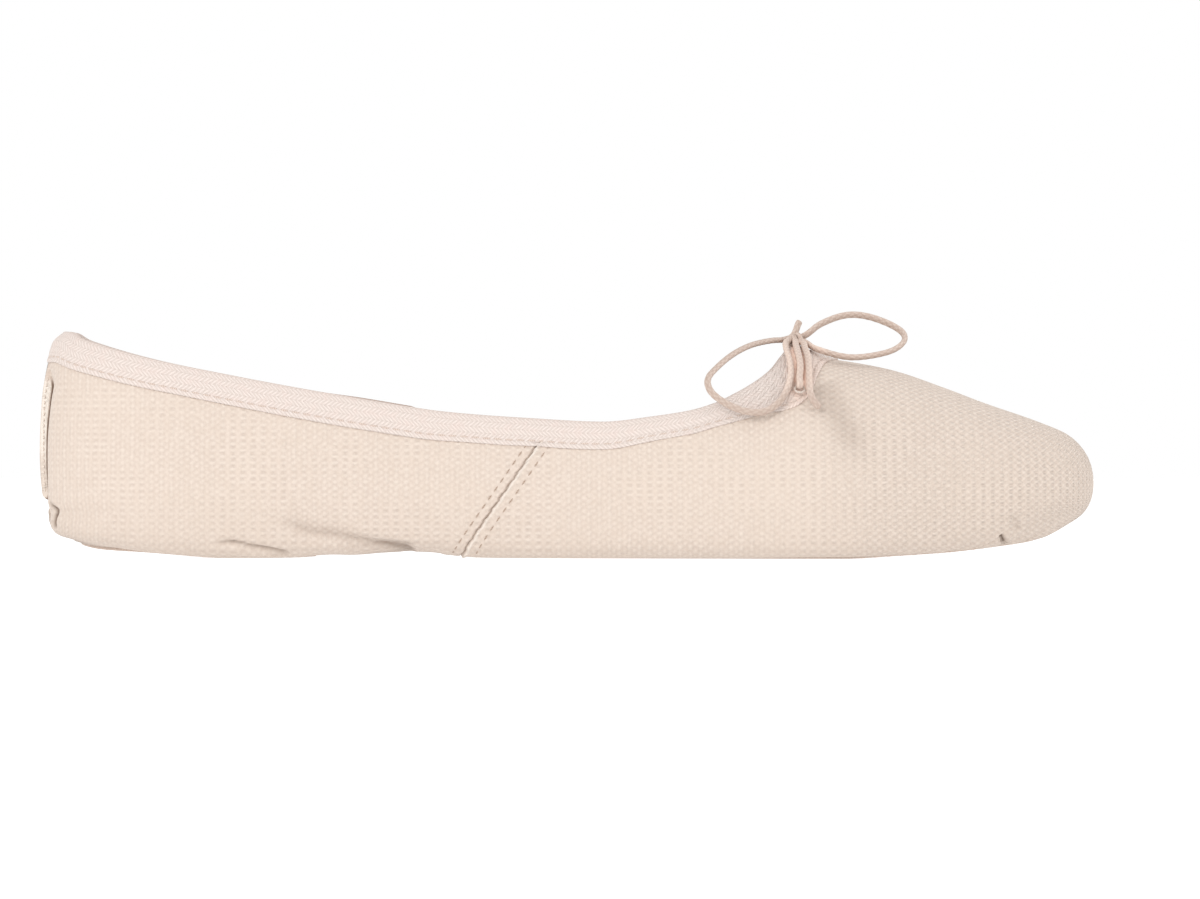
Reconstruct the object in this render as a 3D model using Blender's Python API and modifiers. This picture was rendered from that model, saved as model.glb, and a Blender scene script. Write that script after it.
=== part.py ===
"""Split-sole ballet slipper: one shoe on a straight last, standing on its two suede soles.

X runs from heel to toe, Z is up and the floor is z = 0. The origin is on the floor under the
middle of the shoe. The two sides of the shoe mirror each other across y = 0.
"""

import math
from collections import namedtuple

import bmesh
import bpy
import numpy as np
from mathutils import Vector

MM = 0.001

# Driving dimensions of the last and of the materials.
LENGTH = 245 * MM
BALL_WIDTH = 78 * MM
INSTEP_HEIGHT = 48.6 * MM  # top of the throat, over its binding
HEEL_HEIGHT = 52.6 * MM  # top of the collar at the back
CANVAS_WALL = 1.3 * MM  # canvas with its cotton lining
SUEDE = 1.0 * MM
INSOLE_WALL = 0.9 * MM
BINDING_WALL = 0.7 * MM
GAP = 0.3 * MM  # between pieces that are sewn together
STANDOFF = 0.35 * MM  # canvas beside the soles, above the soles' undersides
CORD = 1.6 * MM

# Section shape: |y / breadth|^n + |z / height|^n = 1 about the widest level.
CROWN_POWER = 1.9
BOTTOM_POWER = 6.0

# Girth lines run from the collar down and under the foot, each in a vertical half-plane. The
# planes fan about one axis in the heel and another in the toe, and slide along X in between.
HEEL_AXIS = 32 * MM
TOE_AXIS = 156 * MM
SPINE_HEIGHT = 16 * MM
RAY_LENGTH = 160 * MM
HEEL_FAN, SIDE, TOE_FAN = 0, 1, 2  # where each third of a girth line's number starts

# Last: a row for each section. Stations are percent of length from the heel, breadths percent of
# half the ball width, and heights percent of the instep height, the underside from the soles.
Section = namedtuple("Section", "station breadth underside widest ridge")
SECTIONS = (
    Section(0.0, 0.0, 54.8, 55.6, 55.6),
    Section(0.2, 12.6, 29.1, 53.5, 81.3),
    Section(0.6, 21.0, 16.4, 51.4, 96.3),
    Section(1.7, 35.4, 8.9, 47.3, 108.2),
    Section(3.3, 46.4, 6.6, 43.2, 116.3),
    Section(6.1, 59.0, 3.9, 38.0, 124.5),
    Section(9.8, 67.4, 2.8, 34.0, 127.6),
    Section(13.9, 71.8, 1.3, 31.9, 127.2),
    Section(17.6, 72.5, 0.0, 30.5, 125.3),
    Section(22.9, 72.8, 0.0, 28.8, 121.4),
    Section(29.4, 72.6, 1.1, 27.6, 115.2),
    Section(35.9, 73.8, 2.0, 26.7, 109.1),
    Section(42.4, 77.4, 0.0, 26.1, 103.9),
    Section(53.1, 87.2, 0.0, 25.7, 100.4),
    Section(61.2, 95.4, 0.0, 25.7, 99.2),
    Section(70.2, 100.0, 0.0, 25.7, 98.0),
    Section(75.9, 99.0, 0.0, 25.9, 94.0),
    Section(80.8, 94.9, 1.3, 26.3, 89.3),
    Section(85.7, 86.9, 2.8, 27.2, 81.3),
    Section(90.2, 78.4, 5.2, 28.8, 72.8),
    Section(94.7, 62.5, 8.1, 31.3, 65.0),
    Section(97.6, 46.5, 14.3, 33.5, 58.8),
    Section(99.0, 31.5, 19.7, 35.0, 52.3),
    Section(99.7, 18.2, 26.0, 35.8, 45.7),
    Section(100.0, 0.0, 35.5, 36.2, 36.2),
)

# Collar edge in the side view: percent of length, and percent of the heel height.
CollarPoint = namedtuple("CollarPoint", "station height")
COLLAR = (
    CollarPoint(0.0, 100.4),
    CollarPoint(2.6, 99.6),
    CollarPoint(4.6, 96.2),
    CollarPoint(8.4, 90.7),
    CollarPoint(12.2, 86.3),
    CollarPoint(16.0, 82.7),
    CollarPoint(23.6, 75.9),
    CollarPoint(31.2, 69.8),
    CollarPoint(38.9, 64.3),
    CollarPoint(46.5, 61.6),
    CollarPoint(53.5, 60.0),
    CollarPoint(57.9, 62.2),
    CollarPoint(61.7, 65.0),
    CollarPoint(63.9, 68.1),
    CollarPoint(65.8, 72.1),
    CollarPoint(68.4, 79.3),
    CollarPoint(69.5, 83.8),
    CollarPoint(70.1, 87.8),
    CollarPoint(70.5, 90.5),
    CollarPoint(70.9, 96.0),
    CollarPoint(100.0, 130.0),
)

# Along the shoe, by girth number: how far the soles and the insole stay inside the outline. 0 is
# the back of the heel and 3 the tip of the toe.
Margin = namedtuple("Margin", "girth sole insole")
MARGINS = (
    Margin(0.00, 9.5 * MM, 8.0 * MM),
    Margin(1.00, 8.5 * MM, 6.5 * MM),
    Margin(1.45, 14.5 * MM, 8.0 * MM),
    Margin(1.80, 10.0 * MM, 6.5 * MM),
    Margin(2.30, 9.5 * MM, 6.5 * MM),
    Margin(2.65, 11.0 * MM, 8.0 * MM),
    Margin(3.00, 18.0 * MM, 14.0 * MM),
)

# How deep the binding is, by girth number. It flares where it is gathered beside the throat.
BindingPoint = namedtuple("BindingPoint", "girth depth")
BINDING = (
    BindingPoint(0.00, 8.0 * MM),
    BindingPoint(1.00, 7.8 * MM),
    BindingPoint(1.30, 7.9 * MM),
    BindingPoint(1.45, 7.8 * MM),
    BindingPoint(1.55, 7.4 * MM),
    BindingPoint(1.80, 7.4 * MM),
    BindingPoint(1.92, 6.8 * MM),
    BindingPoint(2.00, 7.2 * MM),
    BindingPoint(2.20, 9.8 * MM),
    BindingPoint(2.40, 14.2 * MM),
    BindingPoint(2.60, 11.6 * MM),
    BindingPoint(2.75, 10.8 * MM),
    BindingPoint(3.00, 13.0 * MM),
)

# The arch between the two soles, as stations along X from the heel.
HEEL_SOLE_END = 64 * MM
FOREFOOT_SOLE_START = 98 * MM
SOLE_END_ROUNDING = 13 * MM
SOLE_LAP = 3 * MM  # canvas that lies on each sole, all round it
PUFF = 1.6 * MM  # width over which the canvas drops beside a sole

# The binding's fold over the collar's edge.
FOLD_ROUNDING = 0.1 * MM
FOLD_SHOULDER = 0.8 * MM  # from the crest down to where its two legs run straight
INNER_LEG = 5.0 * MM  # how far its inside leg comes down from the collar's edge
OUTER_LEG_ROWS = 4

# The drawstring's bow, in millimetres: x from the heel, y to the far side, z up. Two leads come out
# of the binding, one on each side of the throat, and run up to the knot. The heel loop crosses the
# opening and hangs over the near side, the toe loop stands on the vamp, and one end lies down the
# near side.
BowPoint = namedtuple("BowPoint", "x y z")
KNOT = BowPoint(175.8, -1.0, 50.6)
KNOT_RADII = BowPoint(2.2, 2.0, 1.7)
BOW = {
    "bow_lead_near": (
        BowPoint(176.0, -26.6, 39.7),
        BowPoint(176.0, -25.0, 41.2),
        BowPoint(176.2, -21.9, 43.3),
        BowPoint(176.2, -18.1, 45.4),
        BowPoint(175.9, -12.7, 47.5),
        BowPoint(175.7, -8.2, 48.8),
        BowPoint(175.6, -5.4, 49.5),
    ),
    "bow_lead_far": (
        BowPoint(176.0, 26.6, 39.7),
        BowPoint(176.0, 25.0, 41.2),
        BowPoint(176.2, 21.9, 43.3),
        BowPoint(176.2, 18.1, 45.4),
        BowPoint(175.9, 12.7, 47.5),
        BowPoint(175.7, 8.2, 48.8),
        BowPoint(175.7, 3.4, 49.8),
    ),
    "bow_loop_heel": (
        BowPoint(173.0, -1.8, 50.6),
        BowPoint(171.4, -4.2, 50.4),
        BowPoint(167.6, -10.0, 49.8),
        BowPoint(163.9, -16.0, 48.6),
        BowPoint(159.8, -22.0, 46.2),
        BowPoint(156.3, -27.2, 43.1),
        BowPoint(154.8, -30.5, 40.6),
        BowPoint(155.5, -32.3, 38.3),
        BowPoint(158.0, -33.1, 36.1),
        BowPoint(161.5, -33.6, 34.3),
        BowPoint(165.2, -33.8, 33.5),
        BowPoint(168.3, -33.0, 33.9),
        BowPoint(170.3, -32.0, 35.1),
        BowPoint(171.6, -30.9, 36.4),
        BowPoint(172.9, -28.5, 38.6),
        BowPoint(173.8, -25.4, 41.0),
        BowPoint(174.1, -21.7, 43.4),
        BowPoint(173.8, -17.0, 46.0),
        BowPoint(173.3, -12.2, 47.9),
        BowPoint(173.2, -8.6, 49.0),
        BowPoint(173.4, -5.0, 49.8),
    ),
    "bow_loop_toe": (
        BowPoint(178.3, -0.1, 51.8),
        BowPoint(180.6, 1.6, 53.6),
        BowPoint(183.0, 3.6, 54.9),
        BowPoint(185.6, 5.5, 55.9),
        BowPoint(188.9, 7.0, 56.5),
        BowPoint(192.3, 7.5, 56.2),
        BowPoint(195.7, 7.0, 55.2),
        BowPoint(199.1, 5.5, 53.6),
        BowPoint(201.0, 3.0, 51.9),
        BowPoint(200.9, 0.0, 50.1),
        BowPoint(198.7, -2.8, 48.3),
        BowPoint(195.4, -5.5, 47.2),
        BowPoint(191.4, -8.2, 46.5),
        BowPoint(187.5, -9.9, 46.4),
        BowPoint(184.0, -9.4, 47.1),
        BowPoint(181.0, -7.2, 48.1),
        BowPoint(179.2, -3.6, 49.0),
    ),
    "bow_end_short": (
        BowPoint(175.8, -0.6, 52.7),
        BowPoint(176.2, 0.0, 53.9),
        BowPoint(176.8, 0.6, 55.0),
    ),
    "bow_end_long": (
        BowPoint(177.4, -4.6, 49.6),
        BowPoint(177.6, -6.5, 49.0),
        BowPoint(178.0, -13.1, 47.1),
        BowPoint(178.2, -18.2, 44.9),
        BowPoint(178.2, -22.5, 42.6),
        BowPoint(178.2, -25.8, 40.2),
        BowPoint(178.3, -28.1, 38.3),
        BowPoint(178.8, -29.7, 36.7),
        BowPoint(179.6, -30.5, 35.5),
        BowPoint(180.5, -31.1, 34.4),
    ),
}

# Mesh fineness.
HEEL_LINES, SIDE_LINES, TOE_LINES = 9, 15, 13
WALL_ROWS = 12
ACROSS_SOLE = 6
EDGE_CROWDING = 1.7
SOLE_END_LINES = 6
HEEL_SIDE_STEP, FRONT_SIDE_STEP = 6 * MM, 8.8 * MM
FRONT_SIDE_START = 112 * MM
RAYS_UNDER, RAYS_UP = 400, 240
CORD_STEP = 2.2 * CORD
KNOT_SEGMENTS, KNOT_RINGS = 12, 8

COLOURS = {
    "canvas": ((0.83, 0.72, 0.61), 0.85),
    "suede": ((0.72, 0.60, 0.50), 0.9),
    "lining": ((0.84, 0.76, 0.68), 0.85),
    "binding": ((0.88, 0.77, 0.70), 0.8),
    "cord": ((0.62, 0.46, 0.40), 0.75),
}


def smooth_curve(knots, values):
    """A monotone cubic through the knots, so that nothing overshoots between two rows."""
    knots, values = np.array(knots, float), np.array(values, float)
    steps = np.diff(knots)
    rises = np.diff(values) / steps
    slopes = np.concatenate([rises[:1], np.zeros(len(rises) - 1), rises[-1:]])
    before, after = rises[:-1], rises[1:]
    agree = before * after > 0
    near, far = steps[:-1] + 2 * steps[1:], 2 * steps[:-1] + steps[1:]
    weighted = near[agree] / before[agree] + far[agree] / after[agree]
    slopes[1:-1][agree] = (near + far)[agree] / weighted

    def at(x):
        x = np.clip(x, knots[0], knots[-1])
        i = np.clip(np.searchsorted(knots, x, side="right") - 1, 0, len(steps) - 1)
        t = (x - knots[i]) / steps[i]
        rise = slopes[i] * (1 - t) ** 2 * t - slopes[i + 1] * t * t * (1 - t)
        return values[i] * (1 + 2 * t) * (1 - t) ** 2 + values[i + 1] * t * t * (3 - 2 * t) + rise * steps[i]

    return at


def roundness(station):
    """Turns a share of the length into an angle, in which the two round ends are smooth."""
    return np.arccos(np.clip(1 - 2 * np.asarray(station, float), -1, 1))


ENDS = roundness([row.station / 100 for row in SECTIONS])
BREADTH = smooth_curve(ENDS, [row.breadth / 100 * BALL_WIDTH / 2 for row in SECTIONS])
UNDERSIDE = smooth_curve(ENDS, [row.underside / 100 * INSTEP_HEIGHT for row in SECTIONS])
WIDEST = smooth_curve(ENDS, [row.widest / 100 * INSTEP_HEIGHT for row in SECTIONS])
RIDGE = smooth_curve(ENDS, [row.ridge / 100 * INSTEP_HEIGHT for row in SECTIONS])
COLLAR_HEIGHT = smooth_curve(
    [row.station / 100 * LENGTH for row in COLLAR], [row.height / 100 * HEEL_HEIGHT for row in COLLAR]
)
SOLE_MARGIN = smooth_curve([row.girth for row in MARGINS], [row.sole for row in MARGINS])
INSOLE_MARGIN = smooth_curve([row.girth for row in MARGINS], [row.insole for row in MARGINS])
BINDING_DEPTH = smooth_curve([row.girth for row in BINDING], [row.depth for row in BINDING])


def sole_level(x):
    """The underside of the soles at a distance x from the heel: 0 where they stand."""
    return np.maximum(UNDERSIDE(roundness(x / LENGTH)), 0)


def outside(x, y, z):
    """Above 0 outside the canvas's outer surface, below 0 inside it."""
    end = roundness(x / LENGTH)
    breadth = np.maximum(BREADTH(end), 1e-6)
    widest = WIDEST(end)
    above = np.maximum(RIDGE(end) - widest, 1e-6)
    below = np.maximum(widest - sole_level(x) - STANDOFF, 1e-6)
    across = np.minimum(np.abs(y) / breadth, 9)
    crown = across**CROWN_POWER + np.minimum(np.abs(z - widest) / above, 9) ** CROWN_POWER
    bottom = across**BOTTOM_POWER + np.minimum(np.abs(z - widest) / below, 9) ** BOTTOM_POWER
    level = np.where(z > widest, crown, bottom) - 1
    return np.where((x <= 0) | (x >= LENGTH), 9, level)


def girth_plane(girth):
    """The axis and the outward direction of a girth line's half-plane."""
    if girth < SIDE:
        turn = girth * math.pi / 2
        return HEEL_AXIS, (-math.cos(turn), math.sin(turn))
    if girth < TOE_FAN:
        return HEEL_AXIS + (girth - SIDE) * (TOE_AXIS - HEEL_AXIS), (0.0, 1.0)
    turn = (girth - TOE_FAN) * math.pi / 2
    return TOE_AXIS, (math.sin(turn), math.cos(turn))


def girth_of_station(x):
    """The number of the girth line that crosses the side at x."""
    return SIDE + (x - HEEL_AXIS) / (TOE_AXIS - HEEL_AXIS)


class Girth:
    """One girth line: the canvas's outer surface in its half-plane, from under the foot to the collar."""

    def __init__(self, girth):
        self.number = girth
        self.axis, (self.dx, self.dy) = girth_plane(girth)
        below = -np.arctan2(SPINE_HEIGHT, np.linspace(0, RAY_LENGTH, RAYS_UNDER))
        angles = np.concatenate([below, np.linspace(below[-1], math.radians(89), RAYS_UP)[1:]])
        near, far = np.zeros(len(angles)), np.full(len(angles), RAY_LENGTH)
        for _ in range(40):
            middle = (near + far) / 2
            reach, z = middle * np.cos(angles), SPINE_HEIGHT + middle * np.sin(angles)
            is_out = outside(self.axis + reach * self.dx, reach * self.dy, z) > 0
            far, near = np.where(is_out, middle, far), np.where(is_out, near, middle)
        reach, z = near * np.cos(angles), SPINE_HEIGHT + near * np.sin(angles)
        over = z - COLLAR_HEIGHT(self.axis + reach * self.dx)
        last = int(np.argmax(over > 0))
        share = over[last - 1] / (over[last - 1] - over[last])
        self.outline = reach.max()
        self.sole = self.outline - float(SOLE_MARGIN(girth))
        self.insole = self.outline - float(INSOLE_MARGIN(girth))
        cut = [v[last - 1] + share * (v[last] - v[last - 1]) for v in (reach, z)]
        self.reach = np.append(reach[:last], cut[0])
        self.z = np.append(z[:last], cut[1])
        under = np.arange(len(self.z)) < int(np.argmax(self.reach))
        beside = np.clip((self.reach - self.sole - GAP) / PUFF, 0, 1)
        rest = 1 - beside * beside * (3 - 2 * beside)
        shelf = sole_level(self.axis + self.reach * self.dx) + SUEDE + GAP
        self.z = np.where(under, self.z + rest * (shelf - self.z), self.z)
        steps = np.hypot(np.diff(self.reach), np.diff(self.z))
        self.run = np.concatenate([[0], np.cumsum(steps)])
        heading = np.unwrap(np.arctan2(np.diff(self.z), np.diff(self.reach)))
        self.turned = np.concatenate([[0, 0], np.cumsum(np.abs(np.diff(heading)))])

    def at_run(self, run):
        """The point at a length along the line, which starts under the axis."""
        reach, z = np.interp(run, self.run, self.reach), np.interp(run, self.run, self.z)
        return Vector((self.axis + reach * self.dx, reach * self.dy, z))

    def spread(self, first, last, count):
        """Lengths along the line from first to last, closer together where the line bends."""
        runs = np.linspace(first, last, 200)
        turned = np.interp(runs, self.run, self.turned)
        share = (runs - first) / (last - first) + (turned - turned[0]) / (turned[-1] - turned[0])
        return [float(np.interp(2 * i / (count - 1), share, runs)) for i in range(count)]

    def run_under(self, reach):
        """The length along the line to a point under the foot, this far from the axis."""
        top = int(np.argmax(self.reach))
        return float(np.interp(reach, self.reach[:top], self.run[:top]))

    def below_collar(self, depth):
        return self.at_run(self.run[-1] - depth)


def surface_normal(point):
    """The canvas's outward direction at a point of its outer surface."""
    nudge = 0.05 * MM
    slopes = []
    for axis in range(3):
        low, high = point.copy(), point.copy()
        low[axis] -= nudge
        high[axis] += nudge
        slopes.append(float(outside(*high) - outside(*low)))
    return Vector(slopes).normalized()


def sole_opening(girth):
    """How far from the axis the canvas stops over a sole. It is 0 in the arch, where it doesn't."""
    return max(girth.sole * sole_share(girth.axis) - SOLE_LAP, 0)


def sole_share(x):
    """The soles' width at x as a share of the full width, with each inner end rounded."""
    from_end = max(HEEL_SOLE_END - x, x - FOREFOOT_SOLE_START)
    if from_end <= 0:
        return 0.0
    t = min(from_end / SOLE_END_ROUNDING, 1)
    return math.sqrt(1 - (1 - t) ** 2)


def centred(points):
    """Moves points measured from the back of the heel to the shoe's own frame."""
    return [Vector((p[0] - LENGTH / 2, p[1], p[2])) for p in points]


def loft(name, lines, thickness, offset, flip=False):
    """A wall through lines of equal count, mirrored across y = 0 and given its thickness."""
    bm = bmesh.new()
    bmesh.ops.create_grid(bm, x_segments=len(lines) - 1, y_segments=len(lines[0]) - 1, size=0.5)
    for vert in bm.verts:
        column = round((vert.co.x + 0.5) * (len(lines) - 1))
        row = round((vert.co.y + 0.5) * (len(lines[0]) - 1))
        vert.co = lines[column][row]
        if abs(vert.co.y) < 0.02 * MM:
            vert.co.y = 0
    bmesh.ops.remove_doubles(bm, verts=bm.verts, dist=0.01 * MM)
    if flip:
        bmesh.ops.reverse_faces(bm, faces=bm.faces)
    mesh = bpy.data.meshes.new(name)
    bm.to_mesh(mesh)
    bm.free()
    wall = bpy.data.objects.new(name, mesh)
    mirror = wall.modifiers.new("both_sides", "MIRROR")
    mirror.use_axis = (False, True, False)
    mirror.merge_threshold = 0.05 * MM
    solidify = wall.modifiers.new("wall", "SOLIDIFY")
    solidify.thickness = thickness
    solidify.offset = offset
    solidify.use_even_offset = True
    return wall


def shaded(obj, slot, parts):
    colour, roughness = COLOURS[slot]
    material = bpy.data.materials.new(f"{obj.name}_{slot}")
    material.use_nodes = True
    shader = material.node_tree.nodes["Principled BSDF"]
    shader.inputs["Base Color"].default_value = (*colour, 1)
    shader.inputs["Roughness"].default_value = roughness
    shader.inputs["Metallic"].default_value = 0
    obj.data.materials.append(material)
    if obj.type == "MESH":
        obj.data.shade_smooth()
    parts.objects.link(obj)
    return obj


def girth_numbers():
    heel = [i / HEEL_LINES for i in range(HEEL_LINES)]
    side = [SIDE + i / SIDE_LINES for i in range(SIDE_LINES)]
    toe = [TOE_FAN + i / TOE_LINES for i in range(TOE_LINES + 1)]
    return heel + side + toe


def make_upper(girths):
    """The canvas, from inside the binding down to the soles, and shut across the arch."""
    top = BINDING_WALL + GAP
    lines = []
    for girth in girths:
        puff = girth.run_under(girth.sole + GAP + PUFF)
        collar = girth.run[-1] - top
        runs = girth.spread(collar, puff, WALL_ROWS)
        runs += [girth.run_under(girth.sole + GAP), girth.run_under(sole_opening(girth))]
        lines.append(centred(girth.at_run(run) for run in runs))
    return loft("upper", lines, CANVAS_WALL, -1)


def make_binding(girths):
    """The drawstring casing: a folded strip with one leg outside the canvas and one inside."""
    outer = GAP + BINDING_WALL / 2
    inner = -(CANVAS_WALL + GAP + BINDING_WALL / 2)
    crest = BINDING_WALL / 2
    shoulder = crest + FOLD_SHOULDER
    turn = crest + FOLD_ROUNDING
    lines = []
    for girth in girths:
        depth = float(BINDING_DEPTH(girth.number))
        leg = [(depth + (shoulder - depth) * i / OUTER_LEG_ROWS, outer) for i in range(OUTER_LEG_ROWS)]
        fold = (
            *leg,
            (shoulder, outer),
            (turn, outer - FOLD_ROUNDING),
            (crest, (outer + inner) / 2),
            (turn, inner + FOLD_ROUNDING),
            (shoulder, inner),
            (INNER_LEG, inner),
        )
        points = []
        for down, out in fold:
            point = girth.below_collar(down)
            points.append(point + out * surface_normal(point))
        lines.append(centred(points))
    return loft("binding", lines, BINDING_WALL, 0)


def line_across(girth, edge, height):
    """Points from the axis out to an edge, closer together towards it, above the soles' undersides."""
    line = []
    for i in range(ACROSS_SOLE + 1):
        reach = edge * (1 - (1 - i / ACROSS_SOLE) ** EDGE_CROWDING)
        x = girth.axis + reach * girth.dx
        line.append(Vector((x, reach * girth.dy, float(sole_level(x)) + height)))
    return centred(line)


def make_sole(name, girths):
    """A flat suede pad that follows the rocker of heel and toe."""
    lines = [line_across(girth, girth.sole * sole_share(girth.axis), 0) for girth in girths]
    return loft(name, lines, SUEDE, -1, flip=True)


def make_insole(girths):
    """The sock lining, on the canvas's inner face."""
    rise = SUEDE + GAP + CANVAS_WALL + GAP
    lines = [line_across(girth, girth.insole, rise) for girth in girths]
    return loft("insole", lines, INSOLE_WALL, -1, flip=True)


def smooth_route(route):
    """Points a cord step apart on the natural cubic spline through a route's own points."""
    points = np.array(route, float) * MM - (LENGTH / 2, 0, 0)
    count = len(points)
    knots = np.concatenate([[0], np.cumsum(np.linalg.norm(np.diff(points, axis=0), axis=1))])
    steps = np.diff(knots)[:, None]
    rises = np.diff(points, axis=0) / steps
    system, right = np.eye(count), np.zeros((count, 3))
    for i in range(1, count - 1):
        system[i, i - 1 : i + 2] = steps[i - 1, 0], 2 * (steps[i - 1, 0] + steps[i, 0]), steps[i, 0]
        right[i] = 6 * (rises[i] - rises[i - 1])
    bends = np.linalg.solve(system, right)
    wanted = np.linspace(0, knots[-1], max(3, round(knots[-1] / CORD_STEP) + 1))
    i = np.clip(np.searchsorted(knots, wanted, side="right") - 1, 0, count - 2)
    t = (wanted - knots[i])[:, None]
    slope = rises[i] - steps[i] * (2 * bends[i] + bends[i + 1]) / 6
    return points[i] + t * slope + t**2 * bends[i] / 2 + t**3 * (bends[i + 1] - bends[i]) / (6 * steps[i])


def make_cord(name, route):
    """One run of the drawstring as a round tube with closed ends."""
    points = smooth_route(route)
    curve = bpy.data.curves.new(name, "CURVE")
    curve.dimensions = "3D"
    curve.bevel_depth = CORD / 2
    curve.bevel_resolution = 2
    curve.use_fill_caps = True
    spline = curve.splines.new("POLY")
    spline.points.add(len(points) - 1)
    for spline_point, point in zip(spline.points, points):
        spline_point.co = (*point, 1)
    return bpy.data.objects.new(name, curve)


def make_knot():
    """The bow's knot as one rounded solid, on the binding at the throat."""
    bm = bmesh.new()
    bmesh.ops.create_uvsphere(bm, u_segments=KNOT_SEGMENTS, v_segments=KNOT_RINGS, radius=MM)
    bmesh.ops.scale(bm, vec=KNOT_RADII, verts=bm.verts)
    mesh = bpy.data.meshes.new("bow_knot")
    bm.to_mesh(mesh)
    bm.free()
    knot = bpy.data.objects.new("bow_knot", mesh)
    knot.location = Vector(KNOT) * MM - Vector((LENGTH / 2, 0, 0))
    return knot


def sole_girths():
    """Girth lines for the two pads, closer together towards their rounded inner ends."""
    rounded = [1 - math.cos(i / SOLE_END_LINES * math.pi / 2) for i in range(SOLE_END_LINES)]
    heel = [Girth(i / HEEL_LINES) for i in range(HEEL_LINES)]
    heel_side = [HEEL_AXIS + i * HEEL_SIDE_STEP for i in range(3)]
    heel_end = [HEEL_SOLE_END - SOLE_END_ROUNDING * t for t in rounded]
    heel += [Girth(girth_of_station(x)) for x in sorted(heel_side + heel_end)]
    front_end = [FOREFOOT_SOLE_START + SOLE_END_ROUNDING * t for t in rounded]
    front_side = [FRONT_SIDE_START + i * FRONT_SIDE_STEP for i in range(5)]
    front = [Girth(girth_of_station(x)) for x in front_end + front_side]
    front += [Girth(TOE_FAN + i / TOE_LINES) for i in range(TOE_LINES + 1)]
    return heel, front


def main():
    for obj in list(bpy.data.objects):
        bpy.data.objects.remove(obj)
    parts = bpy.data.collections.new("ballet_slipper")
    bpy.context.scene.collection.children.link(parts)
    girths = [Girth(number) for number in girth_numbers()]
    heel_girths, front_girths = sole_girths()
    shaded(make_upper(girths), "canvas", parts)
    shaded(make_sole("heel_sole", heel_girths), "suede", parts)
    shaded(make_sole("forefoot_sole", front_girths), "suede", parts)
    shaded(make_insole(girths), "lining", parts)
    shaded(make_binding(girths), "binding", parts)
    shaded(make_knot(), "cord", parts)
    for name, route in BOW.items():
        shaded(make_cord(name, route), "cord", parts)


main()
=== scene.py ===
import math

import bmesh
import bpy
import numpy as np
from mathutils import Matrix, Vector


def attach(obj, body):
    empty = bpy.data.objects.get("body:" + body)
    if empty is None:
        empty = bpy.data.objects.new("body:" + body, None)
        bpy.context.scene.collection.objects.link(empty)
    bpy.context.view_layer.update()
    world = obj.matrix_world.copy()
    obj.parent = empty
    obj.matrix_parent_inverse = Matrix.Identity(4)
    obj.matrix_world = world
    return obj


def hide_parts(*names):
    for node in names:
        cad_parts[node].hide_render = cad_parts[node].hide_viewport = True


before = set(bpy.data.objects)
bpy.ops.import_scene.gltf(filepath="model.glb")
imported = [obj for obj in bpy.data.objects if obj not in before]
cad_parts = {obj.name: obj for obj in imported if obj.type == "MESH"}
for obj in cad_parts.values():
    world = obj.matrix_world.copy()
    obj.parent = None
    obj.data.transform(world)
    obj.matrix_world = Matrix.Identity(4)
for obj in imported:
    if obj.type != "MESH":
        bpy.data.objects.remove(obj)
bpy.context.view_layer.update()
mm = 0.001


# camera, floor and light

studio = {
    "aim": (7.7, 0.0, 25.0),        # mm from the shoe's centre, on the floor
    "distance": 1700.0,
    "pictureWidth": 279.3,          # mm seen across at the shoe
    "sensorWidth": 36.0,
    "clipping": (0.05, 30.0),       # m
    "floorSize": 9.0,               # m
    "floorColour": (0.3, 0.3, 0.3, 1),
    "floorGlow": 0.9,
    "floorRoughness": 0.9,
    "worldWhite": 1.0,
    "keyPower": 10.3,
    "keySize": 0.9,
    "keyPlace": (-0.75, -1.35, 0.8),
    "fillPower": 3.6,
    "fillSize": 1.2,
    "fillPlace": (1.3, -0.5, 0.5),
    "lightAim": (0, 0, 0.03),
}


def linked(name, data):
    made = bpy.data.objects.new(name, data)
    bpy.context.scene.collection.objects.link(made)
    return made


def makeCamera():
    lens = bpy.data.cameras.new("slipperCamera")
    lens.sensor_width = studio["sensorWidth"]
    lens.lens = studio["sensorWidth"] * studio["distance"] / studio["pictureWidth"]
    lens.clip_start, lens.clip_end = studio["clipping"]
    camera = linked("slipperCamera", lens)
    x, y, z = (v * mm for v in studio["aim"])
    camera.location = (x, y - studio["distance"] * mm, z)
    camera.rotation_euler = (math.pi / 2, 0, 0)
    bpy.context.scene.camera = camera


def softLight(name, power, size, place):
    lamp = bpy.data.lights.new(name, "AREA")
    lamp.shape = "SQUARE"
    lamp.size = size
    lamp.energy = power
    light = linked(name, lamp)
    light.location = place
    toShoeMiddle = Vector(studio["lightAim"]) - Vector(place)
    light.rotation_euler = toShoeMiddle.to_track_quat("-Z", "Y").to_euler()


makeCamera()
softLight("keyLight", studio["keyPower"], studio["keySize"], studio["keyPlace"])
softLight("fillLight", studio["fillPower"], studio["fillSize"], studio["fillPlace"])
world = bpy.data.worlds.new("studioWhite")
bpy.context.scene.world = world
world.use_nodes = True
world.node_tree.nodes["Background"].inputs["Color"].default_value = (1, 1, 1, 1)
world.node_tree.nodes["Background"].inputs["Strength"].default_value = studio["worldWhite"]
bpy.context.scene.view_settings.view_transform = "Standard"
print("camera and lights placed")


# shader helpers

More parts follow.
